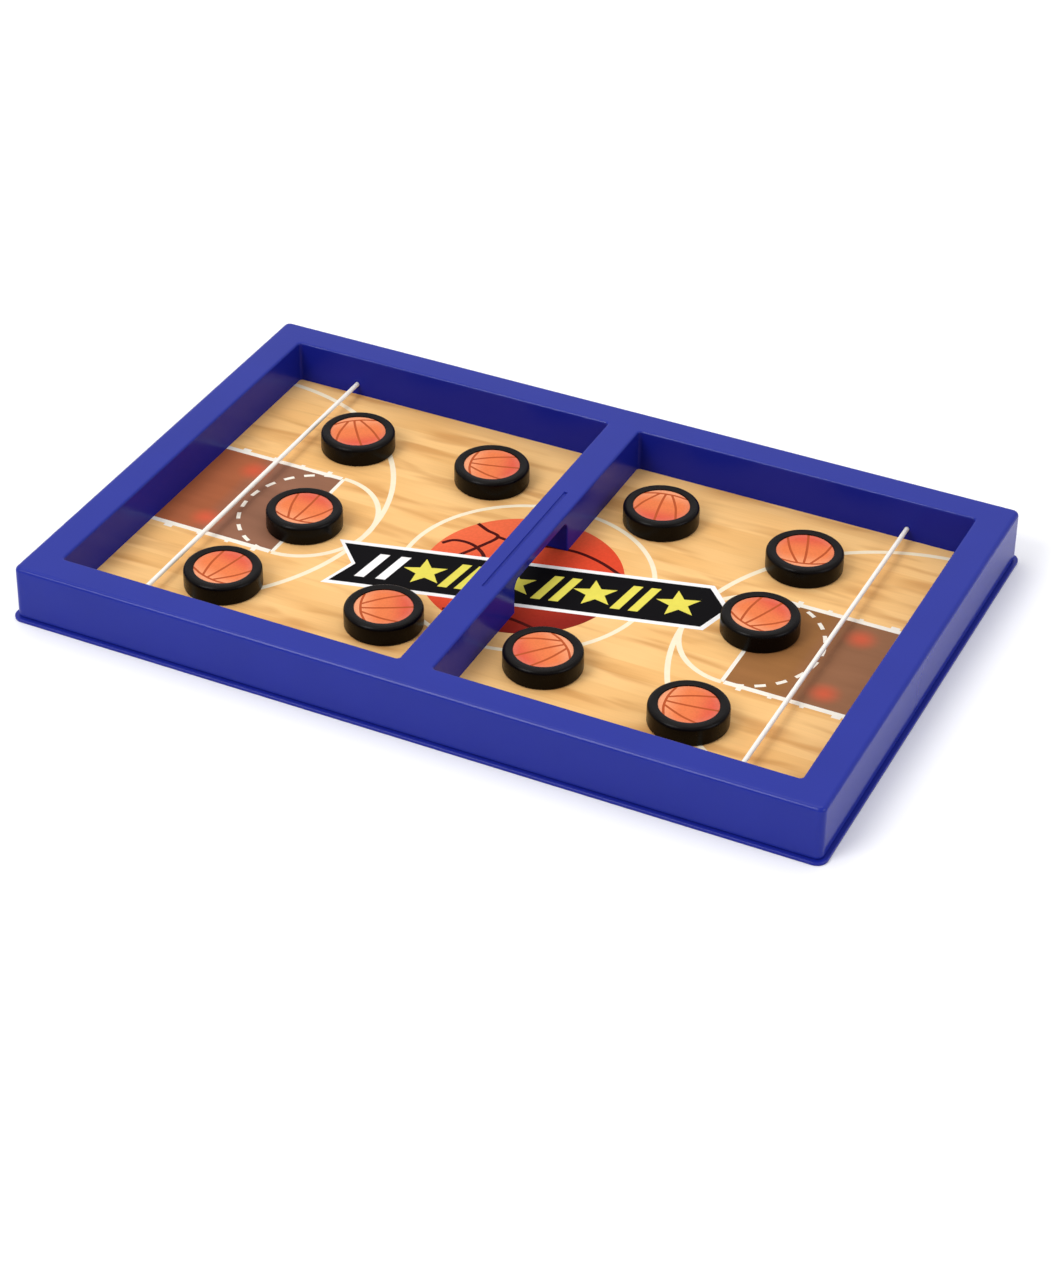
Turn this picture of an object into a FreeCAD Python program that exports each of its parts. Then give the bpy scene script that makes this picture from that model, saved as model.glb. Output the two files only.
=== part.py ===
# Sling puck game: a hollow moulded frame with two courts, a divider with a gate, an elastic cord at each end
# and ten pucks. Sizes are in millimetres. The origin is the middle of the underside, +X runs along the board,
# +Y across it and +Z up.
import FreeCAD, Part
import os

from FreeCAD import Vector

# Frame, measured over the walls
FRAME_LENGTH = 350.0
FRAME_WIDTH = 225.0
RIM_HEIGHT = 25.0
RAIL_WIDTH = 15.0
DIVIDER_WIDTH = 15.0
OUTER_WALL = 2.2
INNER_WALL = 2.0
TOP_THICKNESS = 2.2
FRAME_CORNER_RADIUS = 3.0
WELL_CORNER_RADIUS = 1.5
OUTER_EDGE_RADIUS = 2.0
WELL_EDGE_RADIUS = 1.0
WALL_LEAN_SHARE = 0.009

# Gate in the divider
GATE_WIDTH = 50.0
LINTEL_DEPTH = 4.5
GATE_CORNER_RADIUS = 4.0
GATE_EDGE_RADIUS = 0.6
GROOVE_LENGTH = 78.0
GROOVE_RADIUS = 0.8
GROOVE_DEPTH = 0.7

# Ribs and screw bosses hidden in the hollow rails
RIB_THICKNESS = 1.2
RIB_LIFT = 9.0
BOSS_DIAMETER = 7.0
PILOT_DIAMETER = 2.7
PILOT_DEPTH = 12.5
LONG_RAIL_RIB_SHARES = (0.27, 0.56)
END_RAIL_RIB_SHARE = 0.5
DIVIDER_RIB_SHARES = (0.46, 0.82)
DIVIDER_BOSS_SHARE = 0.64

# Base tray
FLANGE_REACH = 1.8
FLANGE_THICKNESS = 1.5
FLANGE_EDGE_RADIUS = 0.4
SHADOW_GAP = 0.6
LEDGE_INSET = 1.0
LEDGE_WIDTH = 3.0
BOARD_SEAT = 2.1
SEAT_RIB_PITCH = 38.0
FENCE_THICKNESS = 1.2
FENCE_DROP = 0.6
CUP_DIAMETER = 9.6
CUP_ROOF = 1.6

# Playfield board and the printed sheet glued on it
BOARD_THICKNESS = 2.0
SHEET_THICKNESS = 0.4
BOARD_TUCK = 1.6
BOARD_GAP = 0.3
BOARD_HOLE_GAP = 0.4

# Self-tapping screws
SCREW_HEAD_DIAMETER = 5.6
SCREW_HEAD_HEIGHT = 2.0
SCREW_HEAD_EDGE_RADIUS = 0.6
SCREW_SHANK_DIAMETER = 2.6
SCREW_LENGTH = 11.5
SCREW_TIP_LENGTH = 1.5
SCREW_TIP_DIAMETER = 0.8
SCREW_SLOT_LENGTH = 3.2
SCREW_SLOT_WIDTH = 0.8
SCREW_SLOT_DEPTH = 1.1
SCREW_HEAD_GAP = 0.4
SCREW_HOLE_GAP = 0.3

# Elastic cords
CORD_DIAMETER = 2.0
CORD_SETBACK = 29.0
CORD_LIFT = 5.0
CORD_HOLE_GAP = 0.3
KNOT_DIAMETER = 5.0
KNOT_LENGTH = 4.4
KNOT_GAP = 0.1
CORD_TAIL = 3.0

# Pucks
PUCK_DIAMETER = 32.5
PUCK_HEIGHT = 8.9
PUCK_SHOULDER_RADIUS = 1.8
PUCK_FOOT_RADIUS = 0.9
LABEL_RECESS_DIAMETER = 24.3
LABEL_RECESS_DEPTH = 0.75
RING_SLOPE_DROP = 0.3
GLIDE_RING_WIDTH = 2.6
UNDERSIDE_RECESS_DEPTH = 0.9
LABEL_THICKNESS = 0.25
LABEL_GAP = 0.15

# Each puck's place: its side, its share of the way from the divider to the cord, and its share of the way
# from the middle line to a long wall
PUCK_PLACE_SHARES = (
    (-1, 0.947, 0.710),
    (-1, 0.233, 0.735),
    (-1, 0.846, -0.085),
    (-1, 0.937, -0.745),
    (-1, 0.138, -0.689),
    (1, 0.108, 0.777),
    (1, 0.852, 0.719),
    (1, 0.862, 0.095),
    (1, 0.112, -0.662),
    (1, 0.843, -0.754),
)

# How far a cutting tool runs past the face that it opens
OVERRUN = 2.0
# How near two heights lie when they count as one
TOLERANCE = 0.001

# Heights and half sizes that follow from the sizes above
FRAME_FOOT = FLANGE_THICKNESS + SHADOW_GAP
BOARD_UNDERSIDE = FLANGE_THICKNESS + BOARD_SEAT
SHEET_UNDERSIDE = BOARD_UNDERSIDE + BOARD_THICKNESS
COURT_HEIGHT = SHEET_UNDERSIDE + SHEET_THICKNESS
CEILING_HEIGHT = RIM_HEIGHT - TOP_THICKNESS
GATE_TOP = RIM_HEIGHT - LINTEL_DEPTH
HALF_FRAME_LENGTH = FRAME_LENGTH / 2
HALF_FRAME_WIDTH = FRAME_WIDTH / 2
HALF_COURT_LENGTH = HALF_FRAME_LENGTH - RAIL_WIDTH
HALF_COURT_WIDTH = HALF_FRAME_WIDTH - RAIL_WIDTH
HALF_DIVIDER = DIVIDER_WIDTH / 2
HALF_GATE = GATE_WIDTH / 2
HALF_WELL_LENGTH = (HALF_COURT_LENGTH - HALF_DIVIDER) / 2
WELL_CENTRE = HALF_DIVIDER + HALF_WELL_LENGTH
HALF_BOARD_LENGTH = HALF_COURT_LENGTH + BOARD_TUCK
HALF_BOARD_WIDTH = HALF_COURT_WIDTH + BOARD_TUCK
BOSS_INSET = (OUTER_WALL + RAIL_WIDTH - INNER_WALL) / 2
BOSS_X = HALF_FRAME_LENGTH - BOSS_INSET
BOSS_Y = HALF_FRAME_WIDTH - BOSS_INSET
DIVIDER_BOSS_Y = DIVIDER_BOSS_SHARE * HALF_COURT_WIDTH
CUP_HEIGHT = BOARD_UNDERSIDE + BOARD_THICKNESS / 2
SCREW_SEAT = CUP_HEIGHT - CUP_ROOF
CORD_X = HALF_COURT_LENGTH - CORD_SETBACK
CORD_HEIGHT = COURT_HEIGHT + CORD_LIFT
PUCK_RADIUS = PUCK_DIAMETER / 2


def level_outline(centre_x, half_length, half_width, radius, height):
    """A level rectangle with round corners, as one closed wire."""
    left = centre_x - half_length
    right = centre_x + half_length
    corners = (
        (right, half_width, 0),
        (left, half_width, 90),
        (left, -half_width, 180),
        (right, -half_width, 270),
    )
    arcs = []
    for x, y, start in corners:
        inward_x = -radius if x == right else radius
        inward_y = -radius if y == half_width else radius
        centre = Vector(x + inward_x, y + inward_y, height)
        arcs.append(Part.makeCircle(radius, centre, Vector(0, 0, 1), start, start + 90))
    edges = []
    for here, following in zip(arcs, arcs[1:] + arcs[:1]):
        edges.append(here)
        edges.append(Part.makeLine(here.Vertexes[-1].Point, following.Vertexes[0].Point))
    return Part.Wire(edges)


def straight_block(centre_x, half_length, half_width, radius, low, high):
    """An upright block with round corners."""
    face = Part.Face(level_outline(centre_x, half_length, half_width, radius, low))
    return face.extrude(Vector(0, 0, high - low))


def leaning_block(centre_x, half_length, half_width, radius, low, high, true_height, lean):
    """A block with round corners whose sides lean outwards by a share of the height, true to size at one height."""
    wires = []
    for height in (low, high):
        growth = lean * (height - true_height)
        wires.append(level_outline(centre_x, half_length + growth, half_width + growth, radius, height))
    return Part.makeLoft(wires, True, True)


def upright_rod(x, y, diameter, low, high):
    """A vertical cylinder between two heights."""
    return Part.makeCylinder(diameter / 2, high - low, Vector(x, y, low))


def level_plate(x_low, x_high, y_low, y_high, low, high):
    """A box between two corners."""
    return Part.makeBox(x_high - x_low, y_high - y_low, high - low, Vector(x_low, y_low, low))


def edges_at_height(shape, height):
    """The edges of a shape that lie wholly at one height."""
    found = []
    for edge in shape.Edges:
        if all(abs(vertex.Z - height) < TOLERANCE for vertex in edge.Vertexes):
            found.append(edge)
    return found


def rail_screw_places():
    """The screws in the rails: one at each corner and one in the middle of each rail."""
    places = []
    for x in (-BOSS_X, 0, BOSS_X):
        for y in (-BOSS_Y, 0, BOSS_Y):
            if x or y:
                places.append((x, y))
    return places


def divider_screw_places():
    """The two screws that hold the divider down, one each side of the gate."""
    return [(0, -DIVIDER_BOSS_Y), (0, DIVIDER_BOSS_Y)]


def gate_tool():
    """The arch that is cut through the divider, with round upper corners."""
    start_x = -HALF_DIVIDER - OVERRUN
    shoulder = GATE_TOP - GATE_CORNER_RADIUS
    inner_y = HALF_GATE - GATE_CORNER_RADIUS
    floor = COURT_HEIGHT - OVERRUN
    diagonal = GATE_CORNER_RADIUS / 2 ** 0.5
    left_foot = Vector(start_x, -HALF_GATE, floor)
    left_shoulder = Vector(start_x, -HALF_GATE, shoulder)
    left_bend = Vector(start_x, -inner_y - diagonal, shoulder + diagonal)
    left_top = Vector(start_x, -inner_y, GATE_TOP)
    right_top = Vector(start_x, inner_y, GATE_TOP)
    right_bend = Vector(start_x, inner_y + diagonal, shoulder + diagonal)
    right_shoulder = Vector(start_x, HALF_GATE, shoulder)
    right_foot = Vector(start_x, HALF_GATE, floor)
    edges = [
        Part.makeLine(left_foot, left_shoulder),
        Part.Arc(left_shoulder, left_bend, left_top).toShape(),
        Part.makeLine(left_top, right_top),
        Part.Arc(right_top, right_bend, right_shoulder).toShape(),
        Part.makeLine(right_shoulder, right_foot),
        Part.makeLine(right_foot, left_foot),
    ]
    return Part.Face(Part.Wire(edges)).extrude(Vector(2 * (HALF_DIVIDER + OVERRUN), 0, 0))


def gate_mouth_edges(frame):
    """The edges of the gate on the two faces of the divider."""
    found = []
    lean_reach = WALL_LEAN_SHARE * RIM_HEIGHT
    for edge in frame.Edges:
        on_face = all(abs(abs(v.X) - HALF_DIVIDER) < lean_reach for v in edge.Vertexes)
        in_gate = all(abs(v.Y) < HALF_GATE + TOLERANCE and v.Z < GATE_TOP + TOLERANCE for v in edge.Vertexes)
        if on_face and in_gate and edge.BoundBox.ZMax > COURT_HEIGHT:
            found.append(edge)
    return found


def well_block(side, wall, low, high):
    """One court's well, widened all round by a wall: with no wall it is the open space itself."""
    return leaning_block(
        side * WELL_CENTRE,
        HALF_WELL_LENGTH + wall,
        HALF_COURT_WIDTH + wall,
        WELL_CORNER_RADIUS + wall,
        low,
        high,
        COURT_HEIGHT,
        WALL_LEAN_SHARE,
    )


def divider_groove():
    """The shallow groove along the top of the divider, over the gate."""
    middle = RIM_HEIGHT + GROOVE_RADIUS - GROOVE_DEPTH
    start = Vector(0, -GROOVE_LENGTH / 2, middle)
    return Part.makeCylinder(GROOVE_RADIUS, GROOVE_LENGTH, start, Vector(0, 1, 0))


def frame_shell():
    """The frame's outside: rails, divider, rounded rim, gate and groove, still solid inside."""
    shell = leaning_block(
        0,
        HALF_FRAME_LENGTH,
        HALF_FRAME_WIDTH,
        FRAME_CORNER_RADIUS,
        FRAME_FOOT,
        RIM_HEIGHT,
        FRAME_FOOT,
        -WALL_LEAN_SHARE,
    )
    shell = shell.makeFillet(OUTER_EDGE_RADIUS, edges_at_height(shell, RIM_HEIGHT))
    for side in (-1, 1):
        shell = shell.cut(well_block(side, 0, FRAME_FOOT - OVERRUN, RIM_HEIGHT + OVERRUN))
    inside_edges = []
    for edge in edges_at_height(shell, RIM_HEIGHT):
        box = edge.BoundBox
        if max(abs(box.XMin), abs(box.XMax)) < HALF_FRAME_LENGTH - RAIL_WIDTH / 2:
            if max(abs(box.YMin), abs(box.YMax)) < HALF_FRAME_WIDTH - RAIL_WIDTH / 2:
                inside_edges.append(edge)
    shell = shell.makeFillet(WELL_EDGE_RADIUS, inside_edges)
    shell = shell.cut(gate_tool())
    shell = shell.makeFillet(GATE_EDGE_RADIUS, gate_mouth_edges(shell))
    return shell.cut(divider_groove())


def frame_ribs():
    """Thin cross walls in the hollow rails and divider, and the closed walls beside the gate."""
    half = RIB_THICKNESS / 2
    rail_inner_x = HALF_COURT_LENGTH
    rail_inner_y = HALF_COURT_WIDTH
    low = COURT_HEIGHT + RIB_LIFT
    ribs = []
    for side in (-1, 1):
        for share in LONG_RAIL_RIB_SHARES:
            for x in (-share * HALF_COURT_LENGTH, share * HALF_COURT_LENGTH):
                y_low, y_high = sorted((side * rail_inner_y, side * HALF_FRAME_WIDTH))
                ribs.append(level_plate(x - half, x + half, y_low, y_high, low, RIM_HEIGHT))
        for y in (-END_RAIL_RIB_SHARE * HALF_COURT_WIDTH, END_RAIL_RIB_SHARE * HALF_COURT_WIDTH):
            x_low, x_high = sorted((side * rail_inner_x, side * HALF_FRAME_LENGTH))
            ribs.append(level_plate(x_low, x_high, y - half, y + half, low, RIM_HEIGHT))
        for share in DIVIDER_RIB_SHARES:
            y = side * share * HALF_COURT_WIDTH
            ribs.append(level_plate(-HALF_DIVIDER, HALF_DIVIDER, y - half, y + half, low, RIM_HEIGHT))
        jamb_low, jamb_high = sorted((side * HALF_GATE, side * (HALF_GATE + INNER_WALL)))
        ribs.append(level_plate(-HALF_DIVIDER, HALF_DIVIDER, jamb_low, jamb_high, COURT_HEIGHT, RIM_HEIGHT))
    return ribs


def frame_hollow():
    """The space inside the rails and the divider, open below, less the ribs that cross it."""
    hollow = leaning_block(
        0,
        HALF_FRAME_LENGTH - OUTER_WALL,
        HALF_FRAME_WIDTH - OUTER_WALL,
        FRAME_CORNER_RADIUS - OUTER_WALL,
        FRAME_FOOT - OVERRUN,
        CEILING_HEIGHT,
        FRAME_FOOT,
        -WALL_LEAN_SHARE,
    )
    sleeves = [well_block(side, INNER_WALL, COURT_HEIGHT, RIM_HEIGHT) for side in (-1, 1)]
    return hollow.cut(sleeves + frame_ribs())


def screw_boss(x, y):
    """A round boss that hangs from the ceiling of the hollow and stands on its cup in the tray."""
    return upright_rod(x, y, BOSS_DIAMETER, CUP_HEIGHT, CEILING_HEIGHT + TOP_THICKNESS / 2)


def boss_webs(x, y):
    """The webs that tie a rail's boss to the walls beside it."""
    half = RIB_THICKNESS / 2
    low = COURT_HEIGHT + RIB_LIFT
    high = CEILING_HEIGHT + TOP_THICKNESS / 2
    reach = BOSS_INSET - OUTER_WALL / 2
    webs = []
    if x:
        x_low, x_high = sorted((x, x + reach * x / abs(x)))
        webs.append(level_plate(x_low, x_high, y - half, y + half, low, high))
    if y:
        y_low, y_high = sorted((y, y + reach * y / abs(y)))
        webs.append(level_plate(x - half, x + half, y_low, y_high, low, high))
    return webs


def cord_hole(side):
    """The hole for one cord through both long inner walls."""
    start = Vector(side * CORD_X, -HALF_COURT_WIDTH - INNER_WALL - OVERRUN, CORD_HEIGHT)
    length = 2 * (HALF_COURT_WIDTH + INNER_WALL + OVERRUN)
    return Part.makeCylinder(CORD_DIAMETER / 2 + CORD_HOLE_GAP, length, start, Vector(0, 1, 0))


def make_top_frame():
    """The blue frame: one hollow moulding with bosses, webs and ribs inside."""
    frame = frame_shell().cut(frame_hollow())
    additions = []
    for x, y in rail_screw_places():
        additions.append(screw_boss(x, y))
        additions.extend(boss_webs(x, y))
    for x, y in divider_screw_places():
        additions.append(screw_boss(x, y))
    frame = frame.fuse(additions)
    cuts = []
    for x, y in rail_screw_places() + divider_screw_places():
        cuts.append(upright_rod(x, y, PILOT_DIAMETER, CUP_HEIGHT - OVERRUN, CUP_HEIGHT + PILOT_DEPTH))
    for side in (-1, 1):
        cuts.append(cord_hole(side))
    return frame.cut(cuts).removeSplitter()


def ring_wall(half_length, half_width, radius, thickness, low, high):
    """An upright wall that runs round a rectangle, measured over its outside."""
    outside = straight_block(0, half_length, half_width, radius, low, high)
    inside = straight_block(
        0,
        half_length - thickness,
        half_width - thickness,
        radius,
        low - OVERRUN,
        high + OVERRUN,
    )
    return outside.cut(inside)


def even_places(half_span, pitch):
    """Evenly spaced places across a span, one of them in the middle."""
    count = int(half_span / pitch)
    return [step * pitch for step in range(-count, count + 1)]


def board_seat_ribs():
    """The grid of low ribs on the tray that carries the board."""
    half = RIB_THICKNESS / 2
    low = FLANGE_THICKNESS / 2
    ribs = []
    for x in even_places(HALF_BOARD_LENGTH, SEAT_RIB_PITCH):
        ribs.append(level_plate(x - half, x + half, -HALF_BOARD_WIDTH, HALF_BOARD_WIDTH, low, BOARD_UNDERSIDE))
    for y in even_places(HALF_BOARD_WIDTH, SEAT_RIB_PITCH):
        ribs.append(level_plate(-HALF_BOARD_LENGTH, HALF_BOARD_LENGTH, y - half, y + half, low, BOARD_UNDERSIDE))
    return ribs


def make_base_tray():
    """The tray: a flat underside with a flange, a ledge for the frame, ribs and a fence for the board, and cups."""
    half_length = HALF_FRAME_LENGTH + FLANGE_REACH
    half_width = HALF_FRAME_WIDTH + FLANGE_REACH
    radius = FRAME_CORNER_RADIUS + FLANGE_REACH
    plate = straight_block(0, half_length, half_width, radius, 0, FLANGE_THICKNESS)
    rim_edges = edges_at_height(plate, 0) + edges_at_height(plate, FLANGE_THICKNESS)
    plate = plate.makeFillet(FLANGE_EDGE_RADIUS, rim_edges)
    root = FLANGE_THICKNESS / 2
    ledge = ring_wall(
        HALF_FRAME_LENGTH - LEDGE_INSET,
        HALF_FRAME_WIDTH - LEDGE_INSET,
        FRAME_CORNER_RADIUS - LEDGE_INSET,
        LEDGE_WIDTH,
        root,
        FRAME_FOOT,
    )
    fence = ring_wall(
        HALF_BOARD_LENGTH + BOARD_GAP + FENCE_THICKNESS,
        HALF_BOARD_WIDTH + BOARD_GAP + FENCE_THICKNESS,
        FENCE_THICKNESS,
        FENCE_THICKNESS,
        root,
        COURT_HEIGHT - FENCE_DROP,
    )
    places = rail_screw_places() + divider_screw_places()
    cups = [upright_rod(x, y, CUP_DIAMETER, root, CUP_HEIGHT) for x, y in places]
    tray = plate.fuse([ledge, fence] + board_seat_ribs() + cups)
    head_room = SCREW_HEAD_DIAMETER + 2 * SCREW_HEAD_GAP
    shank_room = SCREW_SHANK_DIAMETER + 2 * SCREW_HOLE_GAP
    boss_room = BOSS_DIAMETER + 2 * SCREW_HOLE_GAP
    cuts = []
    for x, y in places:
        cuts.append(upright_rod(x, y, head_room, -OVERRUN, SCREW_SEAT))
        cuts.append(upright_rod(x, y, shank_room, -OVERRUN, CUP_HEIGHT + OVERRUN))
        cuts.append(upright_rod(x, y, boss_room, CUP_HEIGHT, COURT_HEIGHT + OVERRUN))
    return tray.cut(cuts).removeSplitter()


def make_playfield_board():
    """The stiff board, with a hole for each cup under the divider."""
    board = straight_block(
        0, HALF_BOARD_LENGTH, HALF_BOARD_WIDTH, WELL_CORNER_RADIUS, BOARD_UNDERSIDE, SHEET_UNDERSIDE
    )
    hole = CUP_DIAMETER + 2 * BOARD_HOLE_GAP
    holes = [upright_rod(x, y, hole, 0, RIM_HEIGHT) for x, y in divider_screw_places()]
    return board.cut(holes)


def make_court_sheet():
    """The printed sheet, with a hole for each boss under the divider."""
    sheet = straight_block(
        0, HALF_BOARD_LENGTH, HALF_BOARD_WIDTH, WELL_CORNER_RADIUS, SHEET_UNDERSIDE, COURT_HEIGHT
    )
    hole = BOSS_DIAMETER + 2 * BOARD_HOLE_GAP
    holes = [upright_rod(x, y, hole, 0, RIM_HEIGHT) for x, y in divider_screw_places()]
    return sheet.cut(holes)


def make_screw(x, y):
    """One self-tapping screw, head down, with a cross slot and a blunt tip."""
    head_low = SCREW_SEAT - SCREW_HEAD_HEIGHT
    head = upright_rod(x, y, SCREW_HEAD_DIAMETER, head_low, SCREW_SEAT)
    head = head.makeFillet(SCREW_HEAD_EDGE_RADIUS, edges_at_height(head, head_low))
    shank_top = SCREW_SEAT + SCREW_LENGTH - SCREW_TIP_LENGTH
    shank = upright_rod(x, y, SCREW_SHANK_DIAMETER, SCREW_SEAT, shank_top)
    tip = Part.makeCone(
        SCREW_SHANK_DIAMETER / 2, SCREW_TIP_DIAMETER / 2, SCREW_TIP_LENGTH, Vector(x, y, shank_top)
    )
    long_half = SCREW_SLOT_LENGTH / 2
    short_half = SCREW_SLOT_WIDTH / 2
    slot_low = head_low - OVERRUN
    slot_high = head_low + SCREW_SLOT_DEPTH
    slots = [
        level_plate(x - long_half, x + long_half, y - short_half, y + short_half, slot_low, slot_high),
        level_plate(x - short_half, x + short_half, y - long_half, y + long_half, slot_low, slot_high),
    ]
    return head.fuse([shank, tip]).cut(slots).removeSplitter()


def make_base_screws():
    """All the screws, as separate solids."""
    places = rail_screw_places() + divider_screw_places()
    return Part.makeCompound([make_screw(x, y) for x, y in places])


def make_knot(x, side):
    """The knot behind a long wall: a barrel round the cord, with a short tail."""
    wall_back = HALF_COURT_WIDTH + INNER_WALL + WALL_LEAN_SHARE * CORD_LIFT + KNOT_GAP
    cord_radius = CORD_DIAMETER / 2
    knot_radius = KNOT_DIAMETER / 2
    half_length = KNOT_LENGTH / 2
    middle = wall_back + half_length
    low = Vector(x, side * wall_back, CORD_HEIGHT + cord_radius)
    crown = Vector(x, side * middle, CORD_HEIGHT + knot_radius)
    high = Vector(x, side * (wall_back + KNOT_LENGTH), CORD_HEIGHT + cord_radius)
    tail_end = Vector(x, side * (wall_back + KNOT_LENGTH + CORD_TAIL), CORD_HEIGHT + cord_radius)
    tail_centre = Vector(x, tail_end.y, CORD_HEIGHT)
    start_centre = Vector(x, low.y, CORD_HEIGHT)
    outline = Part.Wire([
        Part.makeLine(start_centre, low),
        Part.Arc(low, crown, high).toShape(),
        Part.makeLine(high, tail_end),
        Part.makeLine(tail_end, tail_centre),
        Part.makeLine(tail_centre, start_centre),
    ])
    return Part.Face(outline).revolve(start_centre, Vector(0, 1, 0), 360)


def make_elastic(side):
    """One cord, straight from wall to wall, with a knot at each end."""
    x = side * CORD_X
    knot_start = HALF_COURT_WIDTH + INNER_WALL + WALL_LEAN_SHARE * CORD_LIFT + KNOT_GAP
    start = Vector(x, -knot_start, CORD_HEIGHT)
    cord = Part.makeCylinder(CORD_DIAMETER / 2, 2 * knot_start, start, Vector(0, 1, 0))
    return cord.fuse([make_knot(x, -1), make_knot(x, 1)]).removeSplitter()


def puck_profile():
    """Half of a puck's section: flat glide ring below, round foot and shoulder, sloped ring and recess on top."""
    glide_outer = PUCK_RADIUS - PUCK_FOOT_RADIUS
    glide_inner = glide_outer - GLIDE_RING_WIDTH
    recess = LABEL_RECESS_DIAMETER / 2
    crest = PUCK_RADIUS - PUCK_SHOULDER_RADIUS
    foot_bend = PUCK_FOOT_RADIUS * (1 - 0.5 ** 0.5)
    shoulder_bend = PUCK_SHOULDER_RADIUS * (1 - 0.5 ** 0.5)
    ring_low = PUCK_HEIGHT - RING_SLOPE_DROP
    recess_floor = PUCK_HEIGHT - LABEL_RECESS_DEPTH - LABEL_THICKNESS

    def point(radius, height):
        return Vector(radius, 0, COURT_HEIGHT + height)

    foot_middle = point(PUCK_RADIUS - foot_bend, foot_bend)
    shoulder_middle = point(PUCK_RADIUS - shoulder_bend, PUCK_HEIGHT - shoulder_bend)
    side_low = point(PUCK_RADIUS, PUCK_FOOT_RADIUS)
    side_high = point(PUCK_RADIUS, PUCK_HEIGHT - PUCK_SHOULDER_RADIUS)
    return Part.Wire([
        Part.makeLine(point(0, UNDERSIDE_RECESS_DEPTH), point(glide_inner, UNDERSIDE_RECESS_DEPTH)),
        Part.makeLine(point(glide_inner, UNDERSIDE_RECESS_DEPTH), point(glide_inner, 0)),
        Part.makeLine(point(glide_inner, 0), point(glide_outer, 0)),
        Part.Arc(point(glide_outer, 0), foot_middle, side_low).toShape(),
        Part.makeLine(side_low, side_high),
        Part.Arc(side_high, shoulder_middle, point(crest, PUCK_HEIGHT)).toShape(),
        Part.makeLine(point(crest, PUCK_HEIGHT), point(recess, ring_low)),
        Part.makeLine(point(recess, ring_low), point(recess, recess_floor)),
        Part.makeLine(point(recess, recess_floor), point(0, recess_floor)),
        Part.makeLine(point(0, recess_floor), point(0, UNDERSIDE_RECESS_DEPTH)),
    ])


def puck_places():
    """Where each puck's middle lies on the court."""
    nearest = HALF_DIVIDER + PUCK_RADIUS
    farthest = CORD_X - CORD_DIAMETER / 2 - PUCK_RADIUS
    widest = HALF_COURT_WIDTH - PUCK_RADIUS
    places = []
    for side, along_share, across_share in PUCK_PLACE_SHARES:
        x = side * (nearest + along_share * (farthest - nearest))
        places.append((x, across_share * widest))
    return places


def make_puck(x, y):
    """One puck body, turned from its section."""
    puck = Part.Face(puck_profile()).revolve(Vector(0, 0, 0), Vector(0, 0, 1), 360)
    puck.translate(Vector(x, y, 0))
    return puck


def make_puck_label(x, y):
    """The printed disc that lies in a puck's recess."""
    low = COURT_HEIGHT + PUCK_HEIGHT - LABEL_RECESS_DEPTH - LABEL_THICKNESS
    return upright_rod(x, y, LABEL_RECESS_DIAMETER - 2 * LABEL_GAP, low, low + LABEL_THICKNESS)


def main():
    nodes = {
        "top_frame": make_top_frame(),
        "base_tray": make_base_tray(),
        "playfield_board": make_playfield_board(),
        "court_sheet": make_court_sheet(),
        "base_screws": make_base_screws(),
        "left_elastic": make_elastic(-1),
        "right_elastic": make_elastic(1),
    }
    for number, (x, y) in enumerate(puck_places(), start=1):
        nodes[f"puck_{number}"] = make_puck(x, y)
        nodes[f"puck_{number}_label"] = make_puck_label(x, y)
    os.makedirs("parts", exist_ok=True)
    for name, shape in nodes.items():
        shape.exportStep(f"parts/{name}.step")
        print(name, "solids", len(shape.Solids), "volume", round(shape.Volume, 1), "valid", shape.isValid())


main()
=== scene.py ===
"""Sling puck game: finishes, printed court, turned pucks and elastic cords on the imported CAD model.

The row frame has +X along the board, +Y across it and +Z up, with its origin in the middle of the underside.
Sizes are written in millimetres, as in the CAD source, and MM turns them into metres.
"""
import logging
import math
from dataclasses import dataclass
from enum import Enum
from typing import Any, Optional, Sequence

import bmesh
import bpy
from mathutils import Matrix, Vector
from mathutils.geometry import delaunay_2d_cdt


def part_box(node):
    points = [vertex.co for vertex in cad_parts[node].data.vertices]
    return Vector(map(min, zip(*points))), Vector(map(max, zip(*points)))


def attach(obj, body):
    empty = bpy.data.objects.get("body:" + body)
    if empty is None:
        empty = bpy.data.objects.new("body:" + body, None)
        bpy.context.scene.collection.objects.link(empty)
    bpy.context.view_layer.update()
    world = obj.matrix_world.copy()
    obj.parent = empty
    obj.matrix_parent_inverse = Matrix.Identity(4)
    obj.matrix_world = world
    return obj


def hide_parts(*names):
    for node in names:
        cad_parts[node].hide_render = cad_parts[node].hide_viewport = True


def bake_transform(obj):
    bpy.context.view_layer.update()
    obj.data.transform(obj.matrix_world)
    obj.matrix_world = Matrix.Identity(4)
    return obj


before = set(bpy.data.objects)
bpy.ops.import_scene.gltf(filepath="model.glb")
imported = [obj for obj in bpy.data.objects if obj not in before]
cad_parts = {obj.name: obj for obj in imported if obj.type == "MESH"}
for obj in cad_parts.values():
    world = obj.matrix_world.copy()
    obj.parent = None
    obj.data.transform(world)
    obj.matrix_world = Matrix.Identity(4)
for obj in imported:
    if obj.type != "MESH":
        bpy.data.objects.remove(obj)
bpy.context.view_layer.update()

LOG = logging.getLogger("sling_puck_game")

MM = 0.001
PHOTO_HEIGHT_PX = 1284

Point2 = tuple[float, float]
Point3 = tuple[float, float, float]

# A pattern's values: what a noise texture mostly stays between, and all that a texture can give
NOISE_SPAN = (0.3, 0.7)
WHOLE_SPAN = (0.0, 1.0)

# The directions in degrees in which the printed balls' poles lie, from puck 1 to puck 10
LABEL_POLES = (127, 195, 268, 256, 208, 100, 286, 248, 48, 188)

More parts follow.
